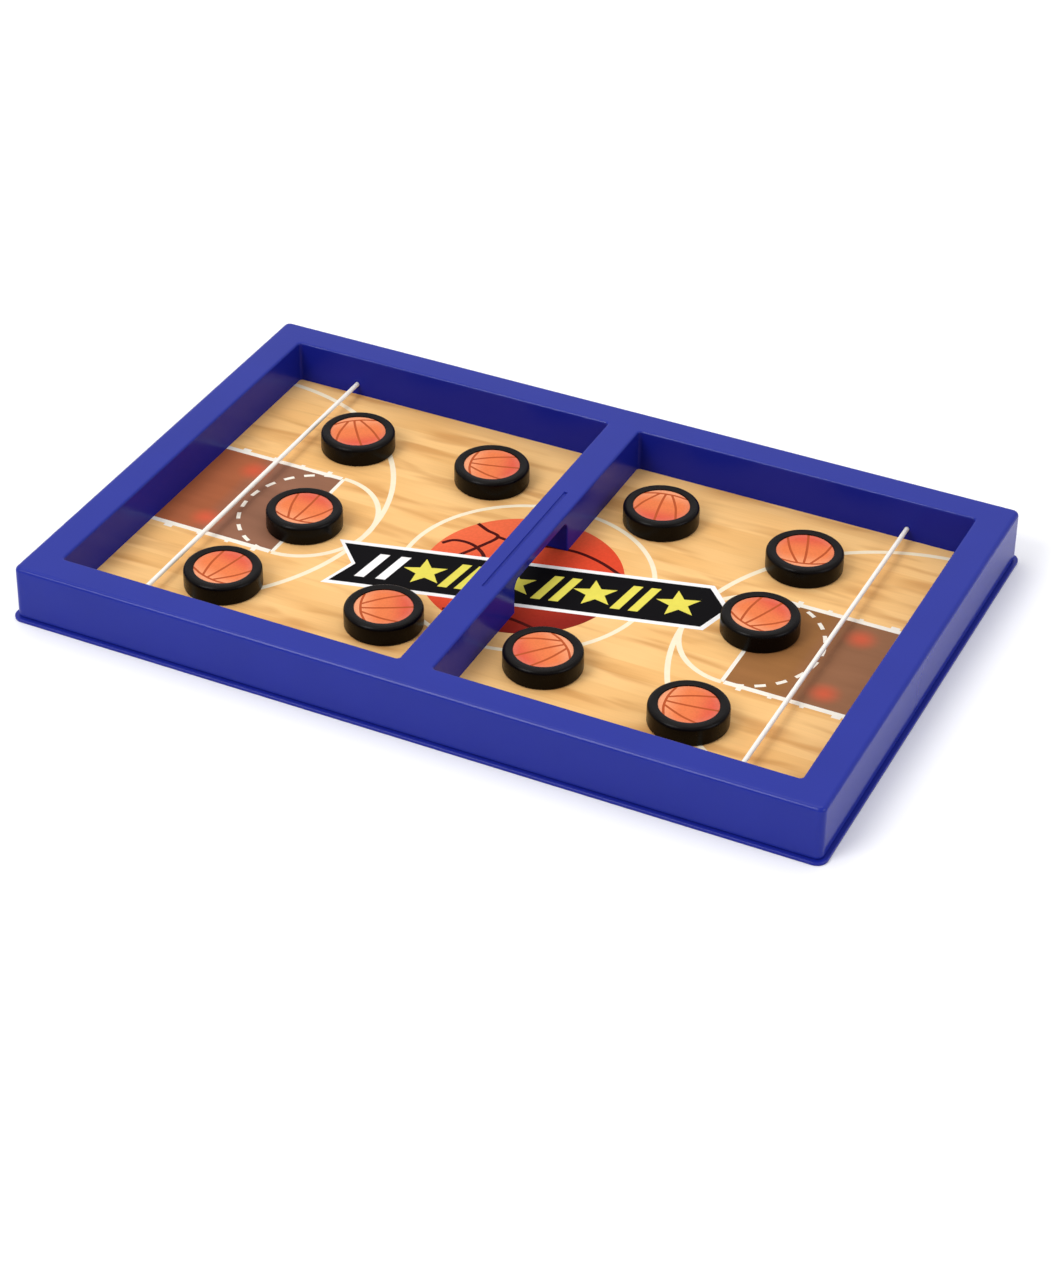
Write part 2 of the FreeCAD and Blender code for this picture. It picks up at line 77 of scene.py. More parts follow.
# Sizes that the CAD source also has, in millimetres
HALF_SHEET_LENGTH = 161.6
HALF_SHEET_WIDTH = 99.1
SHEET_CORNER_RADIUS = 1.5
SHEET_UNDERSIDE = 5.6
COURT_HEIGHT = 6.0
DIVIDER_HOLE_Y = 62.4
DIVIDER_HOLE_RADIUS = 3.9
HALF_COURT_WIDTH = 97.5
INNER_WALL = 2.0
CORD_X = 131.0
CORD_HEIGHT = 11.0
CORD_DIAMETER = 2.0


class Side(Enum):
    """Which court something belongs to, as the sign of its X."""

    LEFT = -1
    RIGHT = 1


def linear(code: str) -> tuple[float, float, float, float]:
    """Turn an sRGB hex colour into linear light.

    Args:
        code: The colour as "#rrggbb".

    Returns:
        Red, green and blue in linear light, and an alpha of 1.
    """
    # The two branches are the curve of the sRGB standard
    channels = []
    for start in (1, 3, 5):
        share = int(code[start:start + 2], 16) / 255
        channels.append(share / 12.92 if share <= 0.04045 else ((share + 0.055) / 1.055) ** 2.4)
    return (channels[0], channels[1], channels[2], 1.0)


def add_node(
    tree: bpy.types.NodeTree, kind: str, inputs: Optional[dict[Any, Any]] = None, **settings: Any
) -> bpy.types.Node:
    """Add one node with its settings, its values and its links.

    Args:
        tree: The node tree that gets the node.
        kind: The node's type name.
        inputs: Values by socket name or number; an output socket is linked, anything else is set.
        **settings: Properties of the node itself, such as its operation.

    Returns:
        The new node.
    """
    node = tree.nodes.new(kind)
    for name, value in settings.items():
        setattr(node, name, value)
    for key, value in (inputs or {}).items():
        if isinstance(value, bpy.types.NodeSocket):
            tree.links.new(value, node.inputs[key])
        else:
            node.inputs[key].default_value = value
    return node


def per_mm(size_mm: float) -> float:
    """Turn the real size of a pattern in millimetres into a texture's scale on Object coordinates."""
    return 1 / (size_mm * MM)


def toned(
    tree: bpy.types.NodeTree, colour: Any, pattern: bpy.types.NodeSocket, span: Point2, tones: Point2
) -> bpy.types.NodeSocket:
    """Make a colour darker and lighter along a pattern.

    Args:
        tree: The node tree that gets the nodes.
        colour: The colour, or the socket that gives it.
        pattern: The socket that gives the pattern.
        span: The pattern's values at which the tones are reached.
        tones: The factors of brightness there.

    Returns:
        The socket that gives the toned colour.
    """
    value = add_node(
        tree, "ShaderNodeMapRange",
        {
            "Value": pattern, "From Min": span[0], "From Max": span[1],
            "To Min": tones[0], "To Max": tones[1],
        },
    )
    tone = add_node(tree, "ShaderNodeHueSaturation", {"Color": colour, "Value": value.outputs["Result"]})
    return tone.outputs["Color"]


def drawn_out_noise(
    tree: bpy.types.NodeTree, place: bpy.types.NodeSocket, size_mm: Point2, detail: float,
    distortion: float = 0.0,
) -> bpy.types.NodeSocket:
    """Add a noise whose features lie along the board.

    Args:
        tree: The node tree that gets the nodes.
        place: The socket that gives the place on the board.
        size_mm: The length and the width of a feature.
        detail: The noise's detail.
        distortion: The noise's distortion.

    Returns:
        The socket that gives the noise.
    """
    scale = (per_mm(size_mm[0]), per_mm(size_mm[1]), 1.0)
    stretched = add_node(tree, "ShaderNodeMapping", {"Vector": place, "Scale": scale})
    noise = add_node(
        tree, "ShaderNodeTexNoise",
        {"Vector": stretched.outputs["Vector"], "Scale": 1.0, "Detail": detail, "Distortion": distortion},
    )
    return noise.outputs["Fac"]


def show(name: str, data: bpy.types.ID) -> bpy.types.Object:
    """Put a mesh, a curve, a lamp or a camera in the scene as an object at the origin."""
    thing = bpy.data.objects.new(name, data)
    bpy.context.scene.collection.objects.link(thing)
    return thing


def put_on(piece: bpy.types.Object, body: str, replaced: Sequence[str] = ()) -> None:
    """Tie a finished piece to its CAD body and the nodes that it stands for.

    Args:
        piece: The finished piece.
        body: The CAD body that it moves with.
        replaced: The CAD nodes that it hides.
    """
    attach(piece, body)
    if replaced:
        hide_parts(*replaced)
    LOG.info("%s on %s: %d faces", piece.name, body, len(piece.data.polygons))


# Finishes


@dataclass(frozen=True)
class Finish:
    """A material, from what the real one is and how its surface was made.

    Attributes:
        name: The material's name.
        colour: Its main colour as an sRGB hex value.
        roughness: How much it scatters a reflection.
        ior: Its index of refraction.
    """

    name: str
    colour: str
    roughness: float
    ior: float = 1.5

    def material(self) -> bpy.types.Material:
        """Return the Blender material, which is made the first time it is asked for."""
        known = bpy.data.materials.get(self.name)
        if known is not None:
            return known
        material = bpy.data.materials.new(self.name)
        material.use_nodes = True
        material.diffuse_color = linear(self.colour)
        tree = material.node_tree
        shader = tree.nodes["Principled BSDF"]
        shader.inputs["Base Color"].default_value = linear(self.colour)
        shader.inputs["Roughness"].default_value = self.roughness
        shader.inputs["IOR"].default_value = self.ior
        self.dress(tree, shader)
        return material

    def dress(self, tree: bpy.types.NodeTree, shader: bpy.types.Node) -> None:
        """Add the pattern, the relief and the wear of the surface to its shader."""
        raise NotImplementedError


@dataclass(frozen=True)
class GlossyMouldedPlastic(Finish):
    """Injection-moulded ABS from a polished tool: deep colour under clear, very slightly wavy reflections.

    Attributes:
        waviness_mm: The width of the slow waves that shrinkage leaves in a moulded wall.
        wave_depth_mm: The height of those waves.
        scuff_mm: The size of the patches where handling has dulled the gloss.
        scuff_span: The noise's values between which a patch sets in.
        scuffed_roughness: The roughness in the middle of such a patch.
        tones: How dark and how light the colour gets along the waves.
    """

    waviness_mm: float = 26.0
    wave_depth_mm: float = 0.008
    scuff_mm: float = 25.0
    scuff_span: Point2 = (0.4, 0.8)
    scuffed_roughness: float = 0.2
    tones: Point2 = (0.94, 1.06)

    def dress(self, tree: bpy.types.NodeTree, shader: bpy.types.Node) -> None:
        """Waves bend the reflections a little, and faint cloudy scuffs soften them in places."""
        place = add_node(tree, "ShaderNodeTexCoord").outputs["Object"]
        waves = add_node(
            tree, "ShaderNodeTexNoise",
            {"Vector": place, "Scale": per_mm(self.waviness_mm), "Detail": 1.0, "Roughness": 0.4},
        )
        bump = add_node(
            tree, "ShaderNodeBump",
            {"Height": waves.outputs["Fac"], "Strength": 1.0, "Distance": self.wave_depth_mm * MM},
        )
        scuffs = add_node(
            tree, "ShaderNodeTexNoise",
            {"Vector": place, "Scale": per_mm(self.scuff_mm), "Detail": 3.0, "Distortion": 0.4},
        )
        clean, scuffed = self.scuff_span
        dulled = add_node(
            tree, "ShaderNodeMapRange",
            {
                "Value": scuffs.outputs["Fac"], "From Min": clean, "From Max": scuffed,
                "To Min": self.roughness, "To Max": self.scuffed_roughness,
            },
        )
        tone = toned(tree, linear(self.colour), waves.outputs["Fac"], WHOLE_SPAN, self.tones)
        tree.links.new(tone, shader.inputs["Base Color"])
        tree.links.new(dulled.outputs["Result"], shader.inputs["Roughness"])
        tree.links.new(bump.outputs["Normal"], shader.inputs["Normal"])


@dataclass(frozen=True)
class SatinMouldedPlastic(Finish):
    """Injection-moulded black styrene from an eroded tool: soft grey sheen on its round edges.

    Attributes:
        grain_mm: The size of the tool's grain, drawn coarser than the real 0.05 mm so that it shows.
        grain_depth_mm: The height of that grain.
        patch_mm: The size of the patches in which the top ring is painted paler.
        patch_span: The noise's values at which a patch is paler least and most.
        least_sheen_and_wear: How much of the paler colour a place between the patches gets, as a share.
        top_sheen_and_wear_colour: The paler grey of the top ring: painted sheen where the top faces the
            light, and wear where it rubs on other pucks.
        top_sheen_and_wear_heights_mm: Where that painted sheen and wear start and where they are full.
        dulling: How much rougher the roughest patches are.
        dulling_span: The noise's values at which the dulling starts and is full.
    """

    grain_mm: float = 0.35
    grain_depth_mm: float = 0.03
    patch_mm: float = 6.25
    patch_span: Point2 = (0.3, 0.6)
    least_sheen_and_wear: float = 0.6
    top_sheen_and_wear_colour: str = "#120e0c"
    top_sheen_and_wear_heights_mm: Point2 = (13.2, 14.7)
    dulling: float = 0.12
    dulling_span: Point2 = (0.35, 0.75)

    def dress(self, tree: bpy.types.NodeTree, shader: bpy.types.Node) -> None:
        """A fine grain breaks the highlights, and the ring on top is painted paler in broad patches, as
        painted sheen and wear.
        """
        place = add_node(tree, "ShaderNodeTexCoord").outputs["Object"]
        grain = add_node(
            tree, "ShaderNodeTexNoise",
            {"Vector": place, "Scale": per_mm(self.grain_mm), "Detail": 2.0, "Roughness": 0.6},
        )
        bump = add_node(
            tree, "ShaderNodeBump",
            {"Height": grain.outputs["Fac"], "Strength": 0.35, "Distance": self.grain_depth_mm * MM},
        )
        patches = add_node(
            tree, "ShaderNodeTexNoise",
            {"Vector": place, "Scale": per_mm(self.patch_mm), "Detail": 4.0, "Roughness": 0.6},
        )
        between, within = self.patch_span
        patchy = add_node(
            tree, "ShaderNodeMapRange",
            {
                "Value": patches.outputs["Fac"], "From Min": between, "From Max": within,
                "To Min": self.least_sheen_and_wear,
            },
        )
        # The top ring's paler colour is painted sheen and wear, set by height and broken into patches.
        height = add_node(tree, "ShaderNodeSeparateXYZ", {"Vector": place})
        start, full = self.top_sheen_and_wear_heights_mm
        top_sheen_and_wear = add_node(
            tree, "ShaderNodeMapRange",
            {
                "Value": height.outputs["Z"], "From Min": start * MM, "From Max": full * MM,
                "To Max": patchy.outputs["Result"],
            },
        )
        mix = add_node(
            tree, "ShaderNodeMix",
            {"Factor": top_sheen_and_wear.outputs["Result"], "A": linear(self.colour), "B": linear(self.top_sheen_and_wear_colour)},
            data_type="RGBA",
        )
        glossier, duller = self.dulling_span
        dulled = add_node(
            tree, "ShaderNodeMapRange",
            {
                "Value": patches.outputs["Fac"], "From Min": glossier, "From Max": duller,
                "To Min": self.roughness, "To Max": self.roughness + self.dulling,
            },
        )
        tree.links.new(mix.outputs["Result"], shader.inputs["Base Color"])
        tree.links.new(dulled.outputs["Result"], shader.inputs["Roughness"])
        tree.links.new(bump.outputs["Normal"], shader.inputs["Normal"])


@dataclass(frozen=True)
class PlankPrint(Finish):
    """Printed picture of a maple floor under varnish: pale yellow planks that run along the board.

    Attributes:
        shade_colour: The tan that a plank fades to along its length.
        heart_colour: The brown of the few darkest streaks.
        plank_width_mm: How wide a printed plank is.
        plank_length_mm: How far a plank keeps one tone.
        smooth_step_mm: A step along the board that is too small to see.
        row_jump: How far apart neighbouring rows read the noise, so that their tones differ.
        row_span: The noise's values at which a plank starts to fade and has faded most.
        row_share: How much of a faded plank's colour is the shade's.
        streak_size_mm: The length and the width of a streak.
        streak_span: The noise's values at which a streak starts and is darkest.
        streak_share: How much of the darkest streak's colour is the heart's.
        grain_size_mm: The length and the width of a line of grain.
        tones: How dark and how light the grain makes the colour.
    """

    shade_colour: str = "#e6ac64"
    heart_colour: str = "#c98c4c"
    plank_width_mm: float = 9.0
    plank_length_mm: float = 62.0
    smooth_step_mm: float = 0.01
    row_jump: float = 900.0
    row_span: Point2 = (0.4, 0.68)
    row_share: float = 0.55
    streak_size_mm: Point2 = (50.0, 8.5)
    streak_span: Point2 = (0.46, 0.72)
    streak_share: float = 0.65
    grain_size_mm: Point2 = (22.0, 0.91)
    tones: Point2 = (0.97, 1.02)

    def planks(self, tree: bpy.types.NodeTree, place: bpy.types.NodeSocket) -> bpy.types.NodeSocket:
        """Rows of planks, each of which wanders between two tones along its length."""
        rows = add_node(
            tree, "ShaderNodeVectorMath",
            {0: place, 1: (self.smooth_step_mm * MM, self.plank_width_mm * MM, 1.0)}, operation="SNAP",
        )
        apart = add_node(
            tree, "ShaderNodeMapping",
            {"Vector": rows.outputs["Vector"], "Scale": (per_mm(self.plank_length_mm), self.row_jump, 1.0)},
        )
        row_tone = add_node(
            tree, "ShaderNodeTexNoise", {"Vector": apart.outputs["Vector"], "Scale": 1.0, "Detail": 1.0},
        )
        fresh, faded = self.row_span
        row_shade = add_node(
            tree, "ShaderNodeMapRange",
            {
                "Value": row_tone.outputs["Fac"], "From Min": fresh, "From Max": faded,
                "To Max": self.row_share,
            },
        )
        mix = add_node(
            tree, "ShaderNodeMix",
            {"Factor": row_shade.outputs["Result"], "A": linear(self.colour), "B": linear(self.shade_colour)},
            data_type="RGBA",
        )
        return mix.outputs["Result"]

    def dress(self, tree: bpy.types.NodeTree, shader: bpy.types.Node) -> None:
        """Soft long streaks lie over the planks, and a fine grain over both."""
        place = add_node(tree, "ShaderNodeTexCoord").outputs["Object"]
        streaks = drawn_out_noise(tree, place, self.streak_size_mm, 1.6, 0.5)
        grain = drawn_out_noise(tree, place, self.grain_size_mm, 2.0)
        pale, dark = self.streak_span
        streak_shade = add_node(
            tree, "ShaderNodeMapRange",
            {"Value": streaks, "From Min": pale, "From Max": dark, "To Max": self.streak_share},
            interpolation_type="SMOOTHSTEP",
        )
        streaked = add_node(
            tree, "ShaderNodeMix",
            {
                "Factor": streak_shade.outputs["Result"],
                "A": self.planks(tree, place), "B": linear(self.heart_colour),
            },
            data_type="RGBA",
        )
        tone = toned(tree, streaked.outputs["Result"], grain, NOISE_SPAN, self.tones)
        tree.links.new(tone, shader.inputs["Base Color"])


@dataclass(frozen=True)
class LaneStainPrint(Finish):
    """Printed brown stain of the lanes: it changes towards each end wall, where two soft red glows lie.

    Attributes:
        stops: Places along the board in millimetres, and the stain's colour there.
        glow_colour: The red of the glows.
        glow_place_mm: How far each glow is from the board's middle, along and across.
        glow_radius_mm: How far a glow reaches.
        glow_share: How much of the colour is the glow's in its middle.
        mottle_size_mm: The length and the width of the stain's mottle.
        tones: How dark and how light the mottle makes the colour.
    """

    stops: tuple[tuple[float, str], ...] = (
        (-143.0, "#a8603e"), (-132.0, "#90644e"), (123.0, "#9a693c"), (132.0, "#946648"),
    )
    glow_colour: str = "#dc5a3c"
    glow_place_mm: Point2 = (140.0, 20.5)
    glow_radius_mm: float = 9.0
    glow_share: float = 0.72
    mottle_size_mm: Point2 = (50.0, 8.33)
    tones: Point2 = (0.92, 1.07)

    def stain(self, tree: bpy.types.NodeTree, place: bpy.types.NodeSocket) -> bpy.types.NodeSocket:
        """A colour ramp along the board."""
        along = add_node(tree, "ShaderNodeSeparateXYZ", {"Vector": place})
        first, last = self.stops[0][0], self.stops[-1][0]
        share = add_node(
            tree, "ShaderNodeMapRange",
            {"Value": along.outputs["X"], "From Min": first * MM, "From Max": last * MM},
        )
        ramp = add_node(tree, "ShaderNodeValToRGB", {"Fac": share.outputs["Result"]})
        stops = ramp.color_ramp.elements
        for reach, _ in self.stops[1:-1]:
            stops.new((reach - first) / (last - first))
        for stop, (_, code) in zip(stops, self.stops):
            stop.color = linear(code)
        return ramp.outputs["Color"]

    def dress(self, tree: bpy.types.NodeTree, shader: bpy.types.Node) -> None:
        """Glows that fade out round lie on the stain, and a long mottle over both."""
        place = add_node(tree, "ShaderNodeTexCoord").outputs["Object"]
        folded = add_node(tree, "ShaderNodeVectorMath", {0: place}, operation="ABSOLUTE")
        glow_centre = (self.glow_place_mm[0] * MM, self.glow_place_mm[1] * MM, COURT_HEIGHT * MM)
        away = add_node(
            tree, "ShaderNodeVectorMath", {0: folded.outputs["Vector"], 1: glow_centre}, operation="DISTANCE",
        )
        glow = add_node(
            tree, "ShaderNodeMapRange",
            {
                "Value": away.outputs["Value"], "From Min": 0.0, "From Max": self.glow_radius_mm * MM,
                "To Min": self.glow_share, "To Max": 0.0,
            },
            interpolation_type="SMOOTHSTEP",
        )
        mix = add_node(
            tree, "ShaderNodeMix",
            {"Factor": glow.outputs["Result"], "A": self.stain(tree, place), "B": linear(self.glow_colour)},
            data_type="RGBA",
        )
        mottle = drawn_out_noise(tree, place, self.mottle_size_mm, 3.0)
        tone = toned(tree, mix.outputs["Result"], mottle, NOISE_SPAN, self.tones)
        tree.links.new(tone, shader.inputs["Base Color"])


@dataclass(frozen=True)
class InkPrint(Finish):
    """Solid offset ink under varnish: nearly even, with the faint mottle of ink on paper.

    Attributes:
        mottle_mm: The size of the mottle, drawn coarser than the real one so that it shows.
        tones: How dark and how light the mottle makes the colour.
    """

    mottle_mm: float = 3.85
    tones: Point2 = (0.96, 1.03)

    def dress(self, tree: bpy.types.NodeTree, shader: bpy.types.Node) -> None:
        """The ink's strength wanders by a few percent."""
        place = add_node(tree, "ShaderNodeTexCoord").outputs["Object"]
        mottle = add_node(
            tree, "ShaderNodeTexNoise",
            {"Vector": place, "Scale": per_mm(self.mottle_mm), "Detail": 4.0, "Roughness": 0.7},
        )
        tone = toned(tree, linear(self.colour), mottle.outputs["Fac"], NOISE_SPAN, self.tones)
        tree.links.new(tone, shader.inputs["Base Color"])


@dataclass(frozen=True)
class ShadedInkPrint(Finish):
    """Ink that is printed as a shade from one colour to two others, by the piece's own UV map.

    Attributes:
        near_colour: The colour at the lower end of the V axis.
        near_span: The places on the V axis at which that colour sets in and is full.
        far_colour: The colour at the upper end of the V axis.
        far_span: The places on the V axis at which that colour sets in and is full.
        dimple_mm: The size of the printed pebble pattern.
        edge_colour: The colour that the shade takes on at the rim of the UV unit circle.
        edge_share: How strongly the rim takes that colour.
        edge_span: The distances from the middle at which it sets in and is full.
        tones: How light a pebble's middle and how dark its edge is.
    """

    near_colour: str = "#ffffff"
    near_span: Point2 = (-0.1, -0.95)
    far_colour: str = "#000000"
    far_span: Point2 = (0.0, 0.95)
    dimple_mm: float = 1.4
    edge_colour: str = "#ffffff"
    edge_share: float = 0.0
    edge_span: Point2 = (0.72, 1.0)
    tones: Point2 = (1.04, 0.92)

    def dress(self, tree: bpy.types.NodeTree, shader: bpy.types.Node) -> None:
        """Two ramps along V, a ring towards the rim, and a faint pebble pattern."""
        place = add_node(tree, "ShaderNodeTexCoord")
        across = add_node(tree, "ShaderNodeSeparateXYZ", {"Vector": place.outputs["UV"]})
        out = add_node(tree, "ShaderNodeVectorMath", {0: place.outputs["UV"]}, operation="LENGTH")
        shades = (
            (across.outputs["Y"], self.near_span, 1.0, self.near_colour),
            (across.outputs["Y"], self.far_span, 1.0, self.far_colour),
            (out.outputs["Value"], self.edge_span, self.edge_share, self.edge_colour),
        )
        colour = linear(self.colour)
        for reach, (start, end), most, code in shades:
            share = add_node(
                tree, "ShaderNodeMapRange",
                {"Value": reach, "From Min": start, "From Max": end, "To Max": most},
                interpolation_type="SMOOTHSTEP",
            )
            mix = add_node(
                tree, "ShaderNodeMix",
                {"Factor": share.outputs["Result"], "A": colour, "B": linear(code)}, data_type="RGBA",
            )
            colour = mix.outputs["Result"]
        pebbles = add_node(
            tree, "ShaderNodeTexVoronoi",
            {"Vector": place.outputs["Object"], "Scale": per_mm(self.dimple_mm)},
        )
        tone = toned(tree, colour, pebbles.outputs["Distance"], WHOLE_SPAN, self.tones)
        tree.links.new(tone, shader.inputs["Base Color"])


@dataclass(frozen=True)
class BraidedElastic(Finish):
    """Rubber cord in a braided polyester sleeve: matt white yarn with shaded gaps between its strands.

    Attributes:
        strands: How many strands run each way round the cord.
        lay_mm: How far along the cord a strand goes in one turn.
        gap_colour: The colour down in the gaps.
        gap_span: The heights of the yarn, from -1 to 1, between which the gap's colour fades out.
        gap_depth_mm: How deep the gaps are.
    """

    strands: int = 8
    lay_mm: float = 7.0
    gap_colour: str = "#eae2d2"
    gap_span: Point2 = (-0.9, 0.5)
    gap_depth_mm: float = 0.06

    def dress(self, tree: bpy.types.NodeTree, shader: bpy.types.Node) -> None:
        """Two sets of strands cross in the UV map, where U is the turn and V the length in millimetres."""
        place = add_node(tree, "ShaderNodeTexCoord")
        split = add_node(tree, "ShaderNodeSeparateXYZ", {"Vector": place.outputs["UV"]})
        waves = []
        for hand in (-1.0, 1.0):
            phase = add_node(
                tree, "ShaderNodeMath",
                {0: split.outputs["Y"], 1: hand / self.lay_mm, 2: split.outputs["X"]},
                operation="MULTIPLY_ADD",
            )
            turns = add_node(
                tree, "ShaderNodeMath",
                {0: phase.outputs["Value"], 1: 2 * math.pi * self.strands}, operation="MULTIPLY",
            )
            waves.append(add_node(tree, "ShaderNodeMath", {0: turns.outputs["Value"]}, operation="SINE"))
        crown = add_node(
            tree, "ShaderNodeMath",
            {0: waves[0].outputs["Value"], 1: waves[1].outputs["Value"]}, operation="MAXIMUM",
        )
        deep, clear = self.gap_span
        gap = add_node(
            tree, "ShaderNodeMapRange",
            {"Value": crown.outputs["Value"], "From Min": deep, "From Max": clear},
        )
        mix = add_node(
            tree, "ShaderNodeMix",
            {"Factor": gap.outputs["Result"], "A": linear(self.gap_colour), "B": linear(self.colour)},
            data_type="RGBA",
        )
        bump = add_node(
            tree, "ShaderNodeBump",
            {"Height": crown.outputs["Value"], "Strength": 0.35, "Distance": self.gap_depth_mm * MM},
        )
        tree.links.new(mix.outputs["Result"], shader.inputs["Base Color"])
        tree.links.new(bump.outputs["Normal"], shader.inputs["Normal"])


@dataclass(frozen=True)
class ZincPlatedSteel(Finish):
    """Cold-headed steel with bright zinc: silvery, with cloudy blue-grey patches and fine forming marks.

    Attributes:
        cloud_mm: The size of the clouds.
        roughnesses: How much smoother and how much rougher than its middle the zinc gets.
        tones: How dark and how light the clouds make the colour.
    """

    cloud_mm: float = 1.43
    roughnesses: Point2 = (-0.1, 0.15)
    tones: Point2 = (0.85, 1.1)

    def dress(self, tree: bpy.types.NodeTree, shader: bpy.types.Node) -> None:
        """Cloudy changes of roughness and tone."""
        shader.inputs["Metallic"].default_value = 1.0
        place = add_node(tree, "ShaderNodeTexCoord").outputs["Object"]
        clouds = add_node(
            tree, "ShaderNodeTexNoise",
            {"Vector": place, "Scale": per_mm(self.cloud_mm), "Detail": 4.0, "Roughness": 0.6},
        )
        smoother, rougher = self.roughnesses
        dulled = add_node(
            tree, "ShaderNodeMapRange",
            {
                "Value": clouds.outputs["Fac"],
                "To Min": self.roughness + smoother, "To Max": self.roughness + rougher,
            },
        )
        tone = toned(tree, linear(self.colour), clouds.outputs["Fac"], WHOLE_SPAN, self.tones)
        tree.links.new(tone, shader.inputs["Base Color"])
        tree.links.new(dulled.outputs["Result"], shader.inputs["Roughness"])


@dataclass(frozen=True)
class PressedFibreBoard(Finish):
    """Wet-pressed hardboard: dark tan with short pale and dark fibres, dull on both faces.

    Attributes:
        fibre_colour: The colour of the pale fibres.
        fibre_mm: The size of a tuft of fibres, drawn coarser than the real ones so that they show.
        fibre_depth_mm: How far the fibres stand up.
    """

    fibre_colour: str = "#8d6a44"
    fibre_mm: float = 1.11
    fibre_depth_mm: float = 0.05

    def dress(self, tree: bpy.types.NodeTree, shader: bpy.types.Node) -> None:
        """Short crossed fibres change the tone and stand up a little."""
        place = add_node(tree, "ShaderNodeTexCoord").outputs["Object"]
        fibres = add_node(
            tree, "ShaderNodeTexNoise",
            {
                "Vector": place, "Scale": per_mm(self.fibre_mm),
                "Detail": 6.0, "Roughness": 0.75, "Distortion": 1.2,
            },
        )
        mix = add_node(
            tree, "ShaderNodeMix",
            {"Factor": fibres.outputs["Fac"], "A": linear(self.colour), "B": linear(self.fibre_colour)},
            data_type="RGBA",
        )
        bump = add_node(
            tree, "ShaderNodeBump",
            {"Height": fibres.outputs["Fac"], "Strength": 0.3, "Distance": self.fibre_depth_mm * MM},
        )
        tree.links.new(mix.outputs["Result"], shader.inputs["Base Color"])
        tree.links.new(bump.outputs["Normal"], shader.inputs["Normal"])


FRAME_BLUE = GlossyMouldedPlastic("glossy blue ABS", "#1c2a90", 0.13, 1.32)
# The court walls are a darker blue than the frame, which is painted shade; they are also rougher and less
# reflective.
SHADED_WALL_BLUE = GlossyMouldedPlastic("blue ABS of the court walls", "#18218a", 0.24, 1.2)
TRAY_BLUE = GlossyMouldedPlastic("blue ABS of the tray", "#1a2690", 0.22, 1.35)
PUCK_BLACK = SatinMouldedPlastic("satin black styrene", "#030202", 0.25, 1.2)
HARDBOARD = PressedFibreBoard("pressed hardboard", "#6f4e2e", 0.75)
ZINC = ZincPlatedSteel("zinc plated steel", "#c9ccd0", 0.32)
CORD_WHITE = BraidedElastic("white braided elastic", "#fffaf0", 0.7)

PAPER = InkPrint("bare label paper", "#efe9df", 0.6)
PLANKS = PlankPrint("printed maple planks", "#f6c582", 0.5, 1.12)
LANE_STAIN = LaneStainPrint("printed lane stain", "#9a693c", 0.5, 1.12)
LINE_WHITE = InkPrint("printed white line", "#f4ecdc", 0.5, 1.12)
LINE_CREAM = InkPrint("printed cream line", "#f6e6c6", 0.5, 1.12)
BALL_SHADE = ShadedInkPrint(
    "printed ball", "#e04a2c", 0.5, 1.12, near_colour="#8a2219", far_colour="#ee6c44", dimple_mm=1.3,
)
BALL_SEAM = InkPrint("printed ball seam", "#4a100c", 0.5, 1.12)
BAND_BLACK = InkPrint("printed band black", "#0a080a", 0.5, 1.12)
BAND_WHITE = InkPrint("printed band white", "#f6f2ee", 0.5, 1.12)
BAND_YELLOW = InkPrint("printed band yellow", "#e4d858", 0.5, 1.12)
LABEL_ORANGE = ShadedInkPrint(
    "printed puck label", "#e77a45", 0.45, 1.2, near_colour="#f2a070", far_colour="#db5640",
    dimple_mm=0.9, edge_colour="#e08f74", edge_share=0.3,
)
LABEL_SEAM = InkPrint("printed puck seam", "#b44e22", 0.45, 1.2)


# Flat shapes for the prints, in millimetres


def arc(centre: Point2, radii: Point2, start: float, end: float, steps: int) -> list[Point2]:
    """Points along part of an ellipse.

    Args:
        centre: The middle of the ellipse.
        radii: Its half sizes along X and Y.
        start: The first angle in degrees.
        end: The last angle in degrees.
        steps: How many chords the arc has.

    Returns:
        One point more than there are chords.
    """
    points = []
    for step in range(steps + 1):
        angle = math.radians(start + (end - start) * step / steps)
        points.append((centre[0] + radii[0] * math.cos(angle), centre[1] + radii[1] * math.sin(angle)))
    return points


def disc(centre: Point2, radius: float, steps: int) -> list[Point2]:
    """A full circle as a closed outline, without its first point repeated."""
    return arc(centre, (radius, radius), 0, 360, steps)[:-1]


def stroke(line: Sequence[Point2], width: float) -> list[Point2]:
    """Give a line a width.

    Args:
        line: The points of the line.
        width: The width that it gets.

    Returns:
        A closed outline, square at both ends.
    """
    left, right = [], []
    for index, point in enumerate(line):
        before = Vector(line[max(index - 1, 0)])
        after = Vector(line[min(index + 1, len(line) - 1)])
        along = (after - before).normalized()
        side = Vector((-along.y, along.x)) * width / 2
        left.append((point[0] + side.x, point[1] + side.y))
        right.append((point[0] - side.x, point[1] - side.y))
    return left + right[::-1]


def flowing(points: Sequence[Point2], steps: int = 8) -> list[Point2]:
    """A smooth line through a few points, as a Catmull-Rom spline.

    Args:
        points: The points that it goes through.
        steps: How many chords lie between two of them.

    Returns:
        The points of the smooth line.
    """
    first = Vector(points[0]) * 2 - Vector(points[1])
    last = Vector(points[-1]) * 2 - Vector(points[-2])
    knots = [first, *(Vector(p) for p in points), last]
    line: list[Point2] = []
    for a, b, c, d in zip(knots, knots[1:], knots[2:], knots[3:]):
        for step in range(steps):
            t = step / steps
            place = 0.5 * (
                2 * b + (c - a) * t + (2 * a - 5 * b + 4 * c - d) * t * t
                + (3 * b - a - 3 * c + d) * t * t * t
            )
            line.append((place.x, place.y))
    line.append((points[-1][0], points[-1][1]))
    return line


